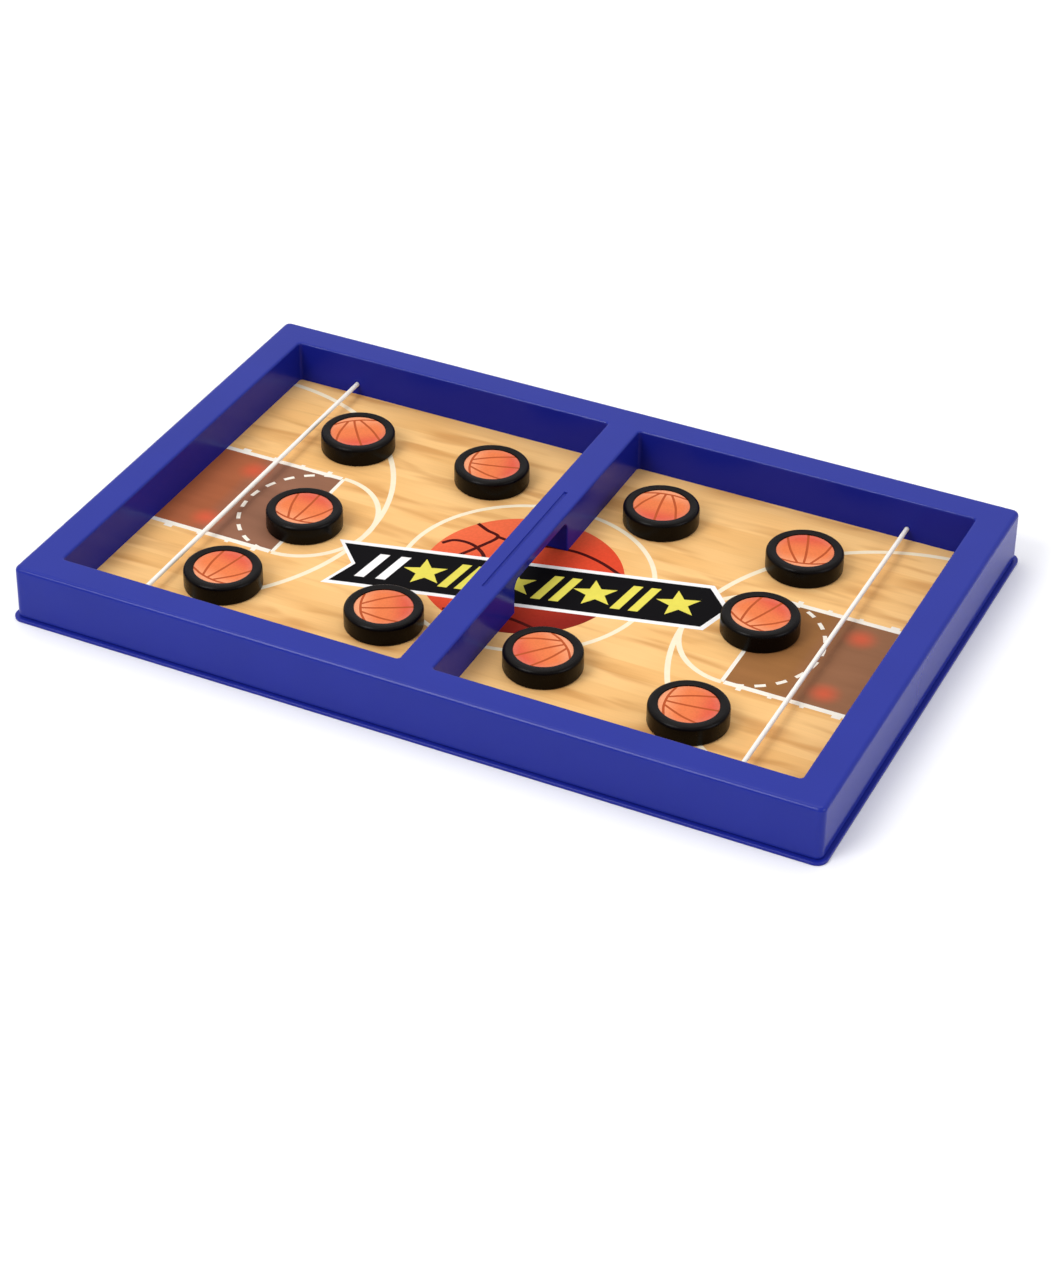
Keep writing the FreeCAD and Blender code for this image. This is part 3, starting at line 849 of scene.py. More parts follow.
def bar(centre: Point2, size: Point2, turn: float = 0.0, slant: float = 0.0) -> list[Point2]:
    """A rectangle that may be turned, or slanted like a forward stroke.

    Args:
        centre: Its middle.
        size: Its full width and height.
        turn: Its angle in degrees.
        slant: How far its top leans to the right.

    Returns:
        Its four corners.
    """
    half_x, half_y, lean = size[0] / 2, size[1] / 2, slant / 2
    corners = [
        (-half_x - lean, -half_y), (half_x - lean, -half_y),
        (half_x + lean, half_y), (-half_x + lean, half_y),
    ]
    return turned(corners, centre, turn)


def star(centre: Point2, radius: float, turn: float, waist: float = 0.42) -> list[Point2]:
    """A five-pointed star, with its first point up before it is turned.

    Args:
        centre: Its middle.
        radius: How far its points reach.
        turn: Its angle in degrees.
        waist: How far the corners between its points reach, as a share of its radius.

    Returns:
        Its ten corners.
    """
    points = []
    for index in range(10):
        reach = radius if index % 2 == 0 else radius * waist
        angle = math.radians(90 + 36 * index)
        points.append((reach * math.cos(angle), reach * math.sin(angle)))
    return turned(points, centre, turn)


def turned(points: Sequence[Point2], centre: Point2, turn: float) -> list[Point2]:
    """Turn points about the origin by degrees, then move them to a centre."""
    c, s = math.cos(math.radians(turn)), math.sin(math.radians(turn))
    return [(centre[0] + c * x - s * y, centre[1] + s * x + c * y) for x, y in points]


def finished(work: bmesh.types.BMesh, name: str, finishes: Sequence[Finish] = ()) -> bpy.types.Mesh:
    """Turn mesh work into a mesh with its materials, and free the work."""
    mesh = bpy.data.meshes.new(name)
    work.to_mesh(mesh)
    work.free()
    for finish in finishes:
        mesh.materials.append(finish.material())
    return mesh


def round_rectangle(half_length: float, half_width: float, radius: float) -> list[Point2]:
    """A rectangle about the origin with round corners."""
    outline: list[Point2] = []
    for index, (sign_x, sign_y) in enumerate(((1, 1), (-1, 1), (-1, -1), (1, -1))):
        centre = (sign_x * (half_length - radius), sign_y * (half_width - radius))
        outline.extend(arc(centre, (radius, radius), 90 * index, 90 * index + 90, steps=4))
    return outline


@dataclass
class Print:
    """A thin printed sheet whose inks are real regions of its mesh, so that each edge stays sharp close up.

    Attributes:
        outline: The sheet's outline in millimetres.
        low: The height of its underside.
        high: The height of its printed face.
        ground: The finish of the printed face where no ink lies on it.
        back: The finish of its edge and underside.
        uv_centre: The point where the UV map is zero.
        uv_radius: The length that counts as one in the UV map.
        uv_turn: The direction in degrees that the UV map's V axis runs against.
    """

    outline: list[Point2]
    low: float
    high: float
    ground: Finish
    back: Finish
    uv_centre: Point2 = (0.0, 0.0)
    uv_radius: float = 1.0
    uv_turn: float = 90.0

    def __post_init__(self) -> None:
        """Start with an empty list of holes and inks."""
        self.holes: list[list[Point2]] = []
        self.inks: list[tuple[Finish, list[Point2]]] = []

    def add(self, finish: Finish, shape: list[Point2]) -> None:
        """Print a closed shape over everything that was printed before it."""
        self.inks.append((finish, shape))

    def _shapes(self) -> list[list[Point2]]:
        """All the outlines, each of them anticlockwise."""
        shapes = []
        for shape in [self.outline, *self.holes, *(shape for _, shape in self.inks)]:
            area = sum(x0 * y1 - x1 * y0 for (x0, y0), (x1, y1) in zip(shape, shape[1:] + shape[:1]))
            shapes.append(shape if area > 0 else shape[::-1])
        return shapes

    def _regions(self) -> tuple[list[Point2], list[tuple[tuple[int, ...], int]]]:
        """Divide the face along every outline.

        Returns:
            The corners, and for each triangle its corners and the number of its finish.
        """
        corners: list[Vector] = []
        loops = []
        for shape in self._shapes():
            loops.append(list(range(len(corners), len(corners) + len(shape))))
            corners.extend(Vector(point) for point in shape)
        places, _, faces, _, _, origins = delaunay_2d_cdt(corners, [], loops, 0, 1e-5, True)
        hole_numbers = set(range(1, 1 + len(self.holes)))
        kept = []
        for face, origin in zip(faces, origins):
            if 0 in origin and not hole_numbers.intersection(origin):
                top = max(origin)
                kept.append((tuple(face), 0 if top == 0 else top - len(self.holes)))
        return [(place.x, place.y) for place in places], kept

    def _finishes(self) -> tuple[list[Finish], list[int]]:
        """Each finish once, and the number among them of the ground's and of every ink's finish."""
        printed = [self.ground, *(finish for finish, _ in self.inks)]
        finishes = list(dict.fromkeys(printed))
        return finishes, [finishes.index(finish) for finish in printed]

    def _wall(
        self, work: bmesh.types.BMesh, upper: list[bmesh.types.BMVert], lower: list[bmesh.types.BMVert],
        number: int,
    ) -> None:
        """Close the edges of the sheet and of its holes.

        Args:
            work: The mesh with both faces of the sheet.
            upper: The corners of the printed face, which were made first.
            lower: The corners of the underside, in the same order.
            number: The number of the edge's finish.
        """
        work.verts.index_update()
        rims = []
        for edge in work.edges:
            if len(edge.link_faces) == 1 and edge.verts[0].index < len(upper):
                loop = edge.link_loops[0]
                rims.append((loop.vert.index, loop.link_loop_next.vert.index))
        for first, second in rims:
            side = work.faces.new((upper[second], upper[first], lower[first], lower[second]))
            side.material_index = number

    def _chart(self, work: bmesh.types.BMesh) -> None:
        """Lay the UV map over both faces and the edge."""
        chart = work.loops.layers.uv.new("print")
        c, s = math.cos(math.radians(self.uv_turn)), math.sin(math.radians(self.uv_turn))
        for face in work.faces:
            for loop in face.loops:
                x = (loop.vert.co.x / MM - self.uv_centre[0]) / self.uv_radius
                y = (loop.vert.co.y / MM - self.uv_centre[1]) / self.uv_radius
                loop[chart].uv = (c * y - s * x, -(c * x + s * y))

    def mesh(self, name: str) -> bpy.types.Mesh:
        """Build the closed sheet.

        Args:
            name: The name of the mesh.

        Returns:
            The mesh with its materials and its UV map.
        """
        places, kept = self._regions()
        finishes, numbers = self._finishes()
        work = bmesh.new()
        upper = [work.verts.new((x * MM, y * MM, self.high * MM)) for x, y in places]
        lower = [work.verts.new((x * MM, y * MM, self.low * MM)) for x, y in places]
        for face, ink in kept:
            work.faces.new([upper[index] for index in face]).material_index = numbers[ink]
            work.faces.new([lower[index] for index in reversed(face)]).material_index = len(finishes)
        self._wall(work, upper, lower, len(finishes))
        bmesh.ops.delete(work, geom=[vert for vert in work.verts if not vert.link_faces], context="VERTS")
        self._chart(work)
        return finished(work, name, [*finishes, self.back])


# Solid shapes


def ring(work: bmesh.types.BMesh, radii: Sequence[float], height: float) -> list[bmesh.types.BMVert]:
    """Set corners evenly round the Z axis.

    Args:
        work: The mesh that gets them.
        radii: The radius of each corner in millimetres.
        height: The height of the ring in millimetres.

    Returns:
        The corners, anticlockwise from above.
    """
    corners = []
    for step, radius in enumerate(radii):
        angle = 2 * math.pi * step / len(radii)
        place = (radius * MM * math.cos(angle), radius * MM * math.sin(angle), height * MM)
        corners.append(work.verts.new(place))
    return corners


def bridge(
    work: bmesh.types.BMesh, rings: Sequence[Sequence[bmesh.types.BMVert]]
) -> list[bmesh.types.BMFace]:
    """Join each ring of corners to the next one with smooth faces.

    Args:
        work: The mesh that holds the rings.
        rings: Rings with the same number of corners; a pole is one corner repeated.

    Returns:
        The faces, ring by ring.
    """
    faces = []
    for inner, outer in zip(rings, rings[1:]):
        for step in range(len(inner)):
            following = (step + 1) % len(inner)
            corners = [inner[step], inner[following], outer[following], outer[step]]
            face = work.faces.new([vert for index, vert in enumerate(corners) if vert not in corners[:index]])
            face.smooth = True
            faces.append(face)
    return faces


def turned_mesh(name: str, profile: Sequence[Point2], segments: int, sharp_degrees: float) -> bpy.types.Mesh:
    """Turn a half section about the Z axis.

    Args:
        name: The name of the mesh.
        profile: Radius and height in millimetres, from the axis below to the axis above.
        segments: How many steps one turn has.
        sharp_degrees: The angle from which an edge stays sharp.

    Returns:
        A closed mesh whose poles are single points.
    """
    work = bmesh.new()
    rings = []
    for radius, height in profile:
        if radius == 0:
            rings.append([work.verts.new((0.0, 0.0, height * MM))] * segments)
        else:
            rings.append(ring(work, [radius] * segments, height))
    bridge(work, rings)
    bmesh.ops.recalc_face_normals(work, faces=work.faces)
    mesh = finished(work, name)
    mesh.set_sharp_from_angle(angle=math.radians(sharp_degrees))
    return mesh


def rounded_corner(
    before: Point2, corner: Point2, after: Point2, radius: float, steps: int = 4
) -> list[Point2]:
    """Replace a corner of a profile by a round that touches both its sides.

    Args:
        before: A point on the side that arrives.
        corner: The sharp corner.
        after: A point on the side that leaves.
        radius: The distance from the corner at which the round starts and ends.
        steps: How many chords the round has.

    Returns:
        The points of the round, as a quadratic curve.
    """
    start = Vector(corner) + (Vector(before) - Vector(corner)).normalized() * radius
    end = Vector(corner) + (Vector(after) - Vector(corner)).normalized() * radius
    points = []
    for step in range(steps + 1):
        t = step / steps
        place = start * (1 - t) ** 2 + Vector(corner) * 2 * t * (1 - t) + end * t * t
        points.append((place.x, place.y))
    return points


def route(points: Sequence[Point3], resolution: int = 24) -> list[Vector]:
    """Read the smooth centreline of a cord from a NURBS spline.

    Args:
        points: The spline's control points in millimetres.
        resolution: How finely each stretch is read.

    Returns:
        Points along the spline in metres.
    """
    curve = bpy.data.curves.new("route", "CURVE")
    curve.dimensions = "3D"
    curve.resolution_u = resolution
    spline = curve.splines.new("NURBS")
    spline.points.add(len(points) - 1)
    for control, (x, y, z) in zip(spline.points, points):
        control.co = (x * MM, y * MM, z * MM, 1.0)
    spline.order_u = 3
    spline.use_endpoint_u = True
    holder = show("route", curve)
    depsgraph = bpy.context.evaluated_depsgraph_get()
    line = bpy.data.meshes.new_from_object(holder.evaluated_get(depsgraph), depsgraph=depsgraph)
    found = [vertex.co.copy() for vertex in line.vertices]
    bpy.data.objects.remove(holder)
    bpy.data.curves.remove(curve)
    bpy.data.meshes.remove(line)
    return found


def tube_mesh(
    name: str, line: Sequence[Vector], diameter: float, sides: int, finish: Finish
) -> bpy.types.Mesh:
    """Lay a closed tube along a line.

    Args:
        name: The name of the mesh.
        line: The centreline in metres.
        diameter: The tube's diameter in millimetres.
        sides: How many sides it has.
        finish: Its finish.

    Returns:
        The mesh, whose UV map has the turn as U and the length in millimetres as V.
    """
    work = bmesh.new()
    chart = work.loops.layers.uv.new("cord")
    radius = diameter / 2 * MM
    rings = []
    lengths = [0.0]
    tangent = (line[1] - line[0]).normalized()
    normal = tangent.orthogonal().normalized()
    for index, point in enumerate(line):
        following = (line[min(index + 1, len(line) - 1)] - line[max(index - 1, 0)]).normalized()
        normal = (tangent.rotation_difference(following) @ normal).normalized()
        tangent = following
        binormal = tangent.cross(normal)
        if index:
            lengths.append(lengths[-1] + (point - line[index - 1]).length / MM)
        corners = []
        for side in range(sides):
            angle = 2 * math.pi * side / sides
            outwards = math.cos(angle) * normal + math.sin(angle) * binormal
            corners.append(work.verts.new(point + radius * outwards))
        rings.append(corners)
    for number, face in enumerate(bridge(work, rings)):
        index, side = divmod(number, sides)
        places = ((side, index), (side + 1, index), (side + 1, index + 1), (side, index + 1))
        for loop, (turn, step) in zip(face.loops, places):
            loop[chart].uv = (turn / sides, lengths[step])
    work.faces.new(rings[0][::-1])
    work.faces.new(rings[-1])
    return finished(work, name, [finish])


@dataclass
class CopiesTree:
    """A Geometry Nodes tree that sets a template at each point, makes the copies real and dresses them.

    Attributes:
        name: The tree's name.
        finish: The finish that it sets.
        seed: The seed of the copies' random turns.
    """

    name: str
    finish: Finish
    seed: int = 7

    def build(self) -> bpy.types.NodeTree:
        """Return the tree, which is made the first time it is asked for."""
        known = bpy.data.node_groups.get(self.name)
        if known is not None:
            return known
        tree = bpy.data.node_groups.new(self.name, "GeometryNodeTree")
        sockets = (
            ("Places", "INPUT", "NodeSocketGeometry"), ("Template", "INPUT", "NodeSocketObject"),
            ("Size", "INPUT", "NodeSocketFloat"), ("Largest Turn", "INPUT", "NodeSocketFloat"),
            ("Copies", "OUTPUT", "NodeSocketGeometry"),
        )
        for name, direction, kind in sockets:
            tree.interface.new_socket(name, in_out=direction, socket_type=kind)
        given = add_node(tree, "NodeGroupInput").outputs
        template = add_node(tree, "GeometryNodeObjectInfo", {"Object": given["Template"]})
        turn = add_node(
            tree, "FunctionNodeRandomValue",
            {"Min": 0.0, "Max": given["Largest Turn"], "Seed": self.seed},
            data_type="FLOAT",
        )
        turn_output = next(socket for socket in turn.outputs if socket.enabled)
        angles = add_node(tree, "ShaderNodeCombineXYZ", {"Z": turn_output})
        copies = add_node(
            tree, "GeometryNodeInstanceOnPoints",
            {
                "Points": given["Places"], "Instance": template.outputs["Geometry"],
                "Rotation": angles.outputs["Vector"], "Scale": given["Size"],
            },
        )
        real = add_node(tree, "GeometryNodeRealizeInstances", {"Geometry": copies.outputs["Instances"]})
        dressed = add_node(
            tree, "GeometryNodeSetMaterial",
            {"Geometry": real.outputs["Geometry"], "Material": self.finish.material()},
        )
        add_node(tree, "NodeGroupOutput", {"Copies": dressed.outputs["Geometry"]})
        return tree

    def copies(
        self, name: str, template: bpy.types.Mesh, places: Sequence[Point3], largest_turn: float
    ) -> bpy.types.Object:
        """Set copies of a mesh at places and return them as one plain mesh.

        Args:
            name: The name of the piece.
            template: The mesh that is copied.
            places: Where the copies go, in millimetres.
            largest_turn: How far a copy may be turned about Z, in radians.

        Returns:
            The piece at the origin.
        """
        points = bpy.data.meshes.new("places")
        points.from_pydata([(x * MM, y * MM, z * MM) for x, y, z in places], [], [])
        holder = show("places", points)
        original = show("template", template)
        modifier = holder.modifiers.new("copies", "NODES")
        modifier.node_group = self.build()
        values = {"Template": original, "Size": 1.0, "Largest Turn": largest_turn}
        for item in modifier.node_group.interface.items_tree:
            if item.name in values and item.in_out == "INPUT":
                modifier[item.identifier] = values[item.name]
        depsgraph = bpy.context.evaluated_depsgraph_get()
        mesh = bpy.data.meshes.new_from_object(holder.evaluated_get(depsgraph), depsgraph=depsgraph)
        mesh.name = name
        holder.modifiers.remove(modifier)
        bpy.data.objects.remove(holder)
        bpy.data.objects.remove(original)
        return show(name, mesh)


# The pieces


@dataclass
class PlasticMouldings:
    """The glossy frame and the tray: smooth copies of the CAD solids, on which long reflections run clean.

    Attributes:
        sharp_degrees: The angle from which an edge stays sharp.
        merge_mm: How near two corners lie when they count as one.
        wall_reach_mm: How far the court walls are from the middle, along and across.
        wall_top_mm: The height at which a court wall starts to round over into the rim.
        wall_lean: The largest upward part of a wall's normal.
        flat_weight: How strongly the large faces pull the normals round them.
    """

    sharp_degrees: float = 32.0
    merge_mm: float = 0.002
    wall_reach_mm: Point2 = (160.6, 98.1)
    wall_top_mm: float = 23.9
    wall_lean: float = 0.5
    flat_weight: int = 90

    def is_court_wall(self, face: bpy.types.MeshPolygon) -> bool:
        """Tell whether a face is part of a wall that looks onto a court."""
        x, y, z = face.center / MM
        inside = abs(x) < self.wall_reach_mm[0] and abs(y) < self.wall_reach_mm[1]
        return inside and z < self.wall_top_mm and abs(face.normal.z) < self.wall_lean

    def smooth_copy(self, node: str, name: str, finish: Finish) -> bpy.types.Object:
        """Copy a CAD node's mesh, merge it and smooth its rounds.

        Args:
            node: The CAD node.
            name: The name of the copy.
            finish: The finish that it gets.

        Returns:
            The piece at the origin.
        """
        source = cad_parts[node].data
        mesh = bpy.data.meshes.new(name)
        corners = [vertex.co.copy() for vertex in source.vertices]
        mesh.from_pydata(corners, [], [list(polygon.vertices) for polygon in source.polygons])
        work = bmesh.new()
        work.from_mesh(mesh)
        bmesh.ops.remove_doubles(work, verts=work.verts, dist=self.merge_mm * MM)
        bmesh.ops.dissolve_degenerate(work, edges=work.edges, dist=self.merge_mm * MM)
        work.to_mesh(mesh)
        work.free()
        mesh.shade_smooth()
        mesh.set_sharp_from_angle(angle=math.radians(self.sharp_degrees))
        mesh.materials.append(finish.material())
        piece = show(name, mesh)
        weighted = piece.modifiers.new("flat faces stay flat", "WEIGHTED_NORMAL")
        weighted.keep_sharp = True
        weighted.weight = self.flat_weight
        return piece

    def build(self) -> None:
        """Make both mouldings; the tool is less polished on the walls round the courts, and their darker blue
        is painted shade.
        """
        glossy_frame = self.smooth_copy("top_frame", "glossy_frame", FRAME_BLUE)
        # Faces of the walls round the courts take the darker blue of painted shade.
        glossy_frame.data.materials.append(SHADED_WALL_BLUE.material())
        for face in glossy_frame.data.polygons:
            face.material_index = int(self.is_court_wall(face))
        put_on(glossy_frame, "board", ["top_frame"])
        blue_tray = self.smooth_copy("base_tray", "blue_tray", TRAY_BLUE)
        put_on(blue_tray, "board", ["base_tray"])


@dataclass
class BaseScrews:
    """The ten self-tapping screws: pan heads with a cross recess and a real thread, sizes in millimetres.

    Attributes:
        head_radius: The radius of the head.
        head_height: The height of the head.
        recess: The radius and the depth of each point of the recess between its four wings.
        recess_rim: The radius of the flat round the recess, where the wings end.
        wing_share: How much further a wing of the recess reaches, as a share of the radius.
        crown: How far in from the head's edge and how deep each point of its round lies.
        root_radius: The radius between the threads.
        crest_radius: The radius over the threads.
        pitch: The distance from one thread to the next.
        crest_sharpness: How narrow a crest is, as a multiple of a thread as wide as its pitch.
        length: The length under the head.
        tip_length: The length over which the shank narrows to its tip.
        tip_share: The radius of the tip as a share of the shank's.
        seat_height: The height at which the head seats.
        places: Where the screws are.
        segments: How many steps one turn has.
        rings_per_thread: How many rings one thread has.
        sharp_degrees: The angle from which an edge stays sharp.
    """

    head_radius: float = 2.8
    head_height: float = 2.0
    recess: tuple[Point2, ...] = ((0.0, 1.1), (0.5, 1.0), (1.0, 0.1))
    recess_rim: float = 1.3
    wing_share: float = 0.55
    crown: tuple[Point2, ...] = ((0.9, 0.0), (0.35, 0.2), (0.0, 0.65))
    root_radius: float = 0.95
    crest_radius: float = 1.3
    pitch: float = 1.0
    crest_sharpness: float = 4.5
    length: float = 11.5
    tip_length: float = 1.5
    tip_share: float = 0.25
    seat_height: float = 3.0
    places: Sequence[Point2] = (
        (-167.4, -104.9), (-167.4, 0), (-167.4, 104.9), (0, -104.9), (0, 104.9),
        (167.4, -104.9), (167.4, 0), (167.4, 104.9), (0, -62.4), (0, 62.4),
    )
    segments: int = 24
    rings_per_thread: int = 8
    sharp_degrees: float = 50

    def head_rings(self, work: bmesh.types.BMesh) -> list[list[bmesh.types.BMVert]]:
        """The head, from the bottom of its recess out over the pan and in to the shank."""
        top = -self.head_height
        rings = []
        for radius, depth in self.recess:
            radii = []
            for step in range(self.segments):
                towards_wing = max(0.0, math.cos(4 * 2 * math.pi * step / self.segments))
                radii.append(radius * (1 + self.wing_share * towards_wing ** 3))
            rings.append(ring(work, radii, top + depth))
        rounds = [(self.head_radius - inwards, top + depth) for inwards, depth in self.crown]
        outside = [(self.recess_rim, top), *rounds, (self.head_radius, 0.0), (self.root_radius, 0.0)]
        for radius, height in outside:
            rings.append(ring(work, [radius] * self.segments, height))
        return rings

    def thread_rings(self, work: bmesh.types.BMesh) -> list[list[bmesh.types.BMVert]]:
        """The threaded shank, which narrows to a blunt tip."""
        count = int(self.length / self.pitch * self.rings_per_thread)
        rings = []
        for index in range(1, count + 1):
            height = self.length * index / count
            taper = min(1.0, (self.length - height) / self.tip_length)
            radii = []
            for step in range(self.segments):
                phase = (height / self.pitch - step / self.segments) % 1.0
                crest = max(0.0, 1 - abs(phase - 0.5) * self.crest_sharpness)
                radius = self.root_radius + (self.crest_radius - self.root_radius) * crest
                radii.append(radius * (self.tip_share + (1 - self.tip_share) * taper))
            rings.append(ring(work, radii, height))
        return rings

    def template(self) -> bpy.types.Mesh:
        """One screw with its head below and its seat at height zero."""
        work = bmesh.new()
        rings = self.head_rings(work) + self.thread_rings(work)
        bridge(work, rings)
        work.faces.new(rings[-1])
        bmesh.ops.remove_doubles(work, verts=rings[0], dist=0.0001 * MM)
        bmesh.ops.recalc_face_normals(work, faces=work.faces)
        mesh = finished(work, "screw")
        mesh.set_sharp_from_angle(angle=math.radians(self.sharp_degrees))
        return mesh

    def build(self) -> None:
        """Set the screws and turn each of them a little differently."""
        tree = CopiesTree("screws at places", ZINC)
        places = [(x, y, self.seat_height) for x, y in self.places]
        piece = tree.copies("zinc_screws", self.template(), places, math.pi / 2)
        put_on(piece, "board", ["base_screws"])


@dataclass
class PrintedCourt:
    """The glued court sheet: planks, two lanes with their lines, a centre circle, a ball and a plain banner.

    Attributes:
        offset: How far the print sits from the middle of the sheet.
        line_width: The width of the large arcs and of the arcs at the free-throw lines.
        side_line_width: The width of the lines beside the lanes.
        circle_line_width: The width of the centre circle's line.
        thin_width: The width of the free-throw lines and the dashes.
        lane_half_width: Half the width of a lane, to the middle of its line.
        lane_arc_radii: The half sizes of the arcs at the free-throw lines.
        free_throw_x: How far the free-throw lines are from the middle.
        dashes: How many dashes lie on the other half of such an arc.
        dash_step: The angle from one dash to the next, in degrees.
        dash_half: Half the angle that a dash takes up.
        ticks: How far each tick beside a lane is from the middle, and its width and height.
        three_point_x: How far the centres of the large arcs are from the middle.
        three_point_radius: The radius of the large arcs.
        three_point_half: How far a large arc runs to each side of its middle, in degrees.
        circle_centre: The middle of the centre circle.
        circle_radius: The radius of the centre circle.
        ball_centre: The middle of the ball.
        ball_radius: The radius of the ball.
        ball_seams: Points on each of the ball's seams, from its middle.
        seam_width: The width of the ball's seams.
        band_centre: The middle of the banner.
        band_turn: The slope of the banner in degrees.
        white_bars: Where the white slanted bars stand along the banner.
        yellow_bars: Where the yellow ones stand.
        bar_widths: The widths of a white bar and of a yellow bar.
        bar_height: The height of a slanted bar.
        bar_slant: How far a slanted bar leans.
        stars: Where the stars stand along the banner.
        star_radius: The radius of a star.
        star_turn: How far a star is turned against the banner, in degrees.
    """

    offset: Point2 = (-0.6, 0.4)
    line_width: float = 2.3
    side_line_width: float = 2.5
    circle_line_width: float = 2.1
    thin_width: float = 1.7
    lane_half_width: float = 31.5
    lane_arc_radii: Point2 = (29.0, 31.8)
    free_throw_x: float = 101.6
    dashes: int = 10
    dash_step: float = 17.0
    dash_half: float = 4.4
    ticks: tuple[Point3, ...] = ((109.5, 2.2, 2.8), (122.5, 1.8, 2.2), (136.0, 1.8, 2.2), (150.5, 3.8, 2.8))
    three_point_x: float = 164.6
    three_point_radius: float = 91.8
    three_point_half: float = 95
    circle_centre: Point2 = (0.2, 0.6)
    circle_radius: float = 53.2
    ball_centre: Point2 = (-1.5, 0.8)
    ball_radius: float = 42.2
    ball_seams: tuple[tuple[Point2, ...], ...] = (
        ((-35.0, 27.0), (-29.0, 24.0), (-23.0, 21.5), (-26.5, 12.0), (-31.0, 3.0), (-36.0, -6.0)),
        ((-22.5, 21.5), (-14.0, 21.0), (0.0, 24.6), (12.0, 26.0), (24.0, 23.4), (36.0, 18.0)),
        ((-42.0, 7.0), (-38.5, 11.0), (-33.0, 12.0), (-27.5, 10.5), (-22.0, 6.0), (-18.0, -2.0)),
        ((-20.0, -36.0), (-8.0, -31.0), (8.0, -30.0), (24.0, -33.0)),
    )
    seam_width: float = 1.7
    band_centre: Point2 = (2.0, -5.5)
    band_turn: float = 14.2
    white_bars: tuple[float, ...] = (-64.0, -55.0)
    yellow_bars: tuple[float, ...] = (-29.0, -22.0, 10.0, 17.5, 43.0, 50.5)
    bar_widths: Point2 = (4.2, 4.0)
    bar_height: float = 18.0
    bar_slant: float = 7.0
    stars: tuple[float, ...] = (-41.5, -4.0, 30.0, 64.5)
    star_radius: float = 9.6
    star_turn: float = 8

    def lane(self, sheet: Print, side: Side) -> None:
        """Print one lane: its stain, lines, arcs, dashes and ticks."""
        sign = side.value
        shift_x, shift_y = self.offset
        end_x = sign * (HALF_SHEET_LENGTH + 2)
        line_x = sign * self.free_throw_x + shift_x
        upper, lower = shift_y + self.lane_half_width, shift_y - self.lane_half_width
        sheet.add(LANE_STAIN, [(end_x, lower), (line_x, lower), (line_x, upper), (end_x, upper)])
        for y in (lower, upper):
            sheet.add(LINE_WHITE, stroke([(end_x, y), (line_x + sign, y)], self.side_line_width))
        sheet.add(LINE_WHITE, stroke([(line_x, lower), (line_x, upper)], self.thin_width))
        solid = arc((line_x, shift_y), self.lane_arc_radii, 90, 90 + sign * 180, steps=40)
        sheet.add(LINE_CREAM, stroke(solid, self.line_width))
        for index in range(self.dashes):
            from_middle = index - (self.dashes - 1) / 2
            middle = 90 - sign * (90 + from_middle * self.dash_step)
            start, end = middle - self.dash_half, middle + self.dash_half
            dash = arc((line_x, shift_y), self.lane_arc_radii, start, end, steps=4)
            sheet.add(LINE_WHITE, stroke(dash, self.thin_width))
        for reach, width, height in self.ticks:
            for y in (lower - height / 2, upper + height / 2):
                sheet.add(LINE_WHITE, bar((sign * reach + shift_x, y), (width, height)))

    def round_line(
        self, sheet: Print, centre: Point2, radius: float, angles: Point2, steps: int, width: float
    ) -> None:
        """Print part of a circle.

        Args:
            sheet: The sheet that gets it.
            centre: The middle of the circle.
            radius: Its radius.
            angles: The first and the last angle in degrees.
            steps: How many chords the line has.
            width: The width of the line.
        """
        line = arc(centre, (radius, radius), angles[0], angles[1], steps)
        sheet.add(LINE_CREAM, stroke(line, width))

    def large_arc(self, sheet: Print, side: Side) -> None:
        """Print one of the large arcs, from the end of the sheet round to the end of the sheet."""
        centre = (side.value * self.three_point_x + self.offset[0], self.offset[1])
        middle = 0 if side is Side.LEFT else 180
        angles = (middle - self.three_point_half, middle + self.three_point_half)
        self.round_line(
            sheet, centre, self.three_point_radius, angles, steps=96, width=self.line_width,
        )

    def centre_circle(self, sheet: Print) -> None:
        """Print the centre circle in two halves, because a whole ring has no single closed outline."""
        for angles in ((0, 180), (180, 360)):
            self.round_line(
                sheet, self.circle_centre, self.circle_radius, angles, steps=72, width=self.circle_line_width,
            )

    def ball(self, sheet: Print) -> None:
        """Print the ball in the centre circle, with plain seams."""
        sheet.add(BALL_SHADE, disc(self.ball_centre, self.ball_radius, steps=96))
        for seam in self.ball_seams:
            sheet.add(BALL_SEAM, stroke(flowing(seam), self.seam_width))

    def ribbon(self, half_height: float, left: float, right: float, notch: float) -> list[Point2]:
        """A ribbon along the banner with a notched left end and a pointed right end."""
        points = [
            (left, -half_height), (right, -half_height), (right + notch, 0), (right, half_height),
            (left, half_height), (left + notch, 0),
        ]
        return turned(points, self.band_centre, self.band_turn)

    def on_banner(self, reach: float) -> Point2:
        """A point on the banner's middle line, at a distance from the banner's middle."""
        return turned([(reach, 0)], self.band_centre, self.band_turn)[0]

    def banner(self, sheet: Print) -> None:
        """Print the banner: a dark ribbon with a white edge, and plain stars and slanted bars."""
        sheet.add(BAND_WHITE, self.ribbon(half_height=16.2, left=-82.0, right=77.0, notch=9.0))
        sheet.add(BAND_BLACK, self.ribbon(half_height=14.0, left=-79.2, right=75.6, notch=8.0))
        white_width, yellow_width = self.bar_widths
        bars = ((BAND_WHITE, white_width, self.white_bars), (BAND_YELLOW, yellow_width, self.yellow_bars))
        for finish, width, reaches in bars:
            for reach in reaches:
                size = (width, self.bar_height)
                sheet.add(finish, bar(self.on_banner(reach), size, self.band_turn, self.bar_slant))
        for reach in self.stars:
            turn = self.band_turn + self.star_turn
            sheet.add(BAND_YELLOW, star(self.on_banner(reach), self.star_radius, turn))

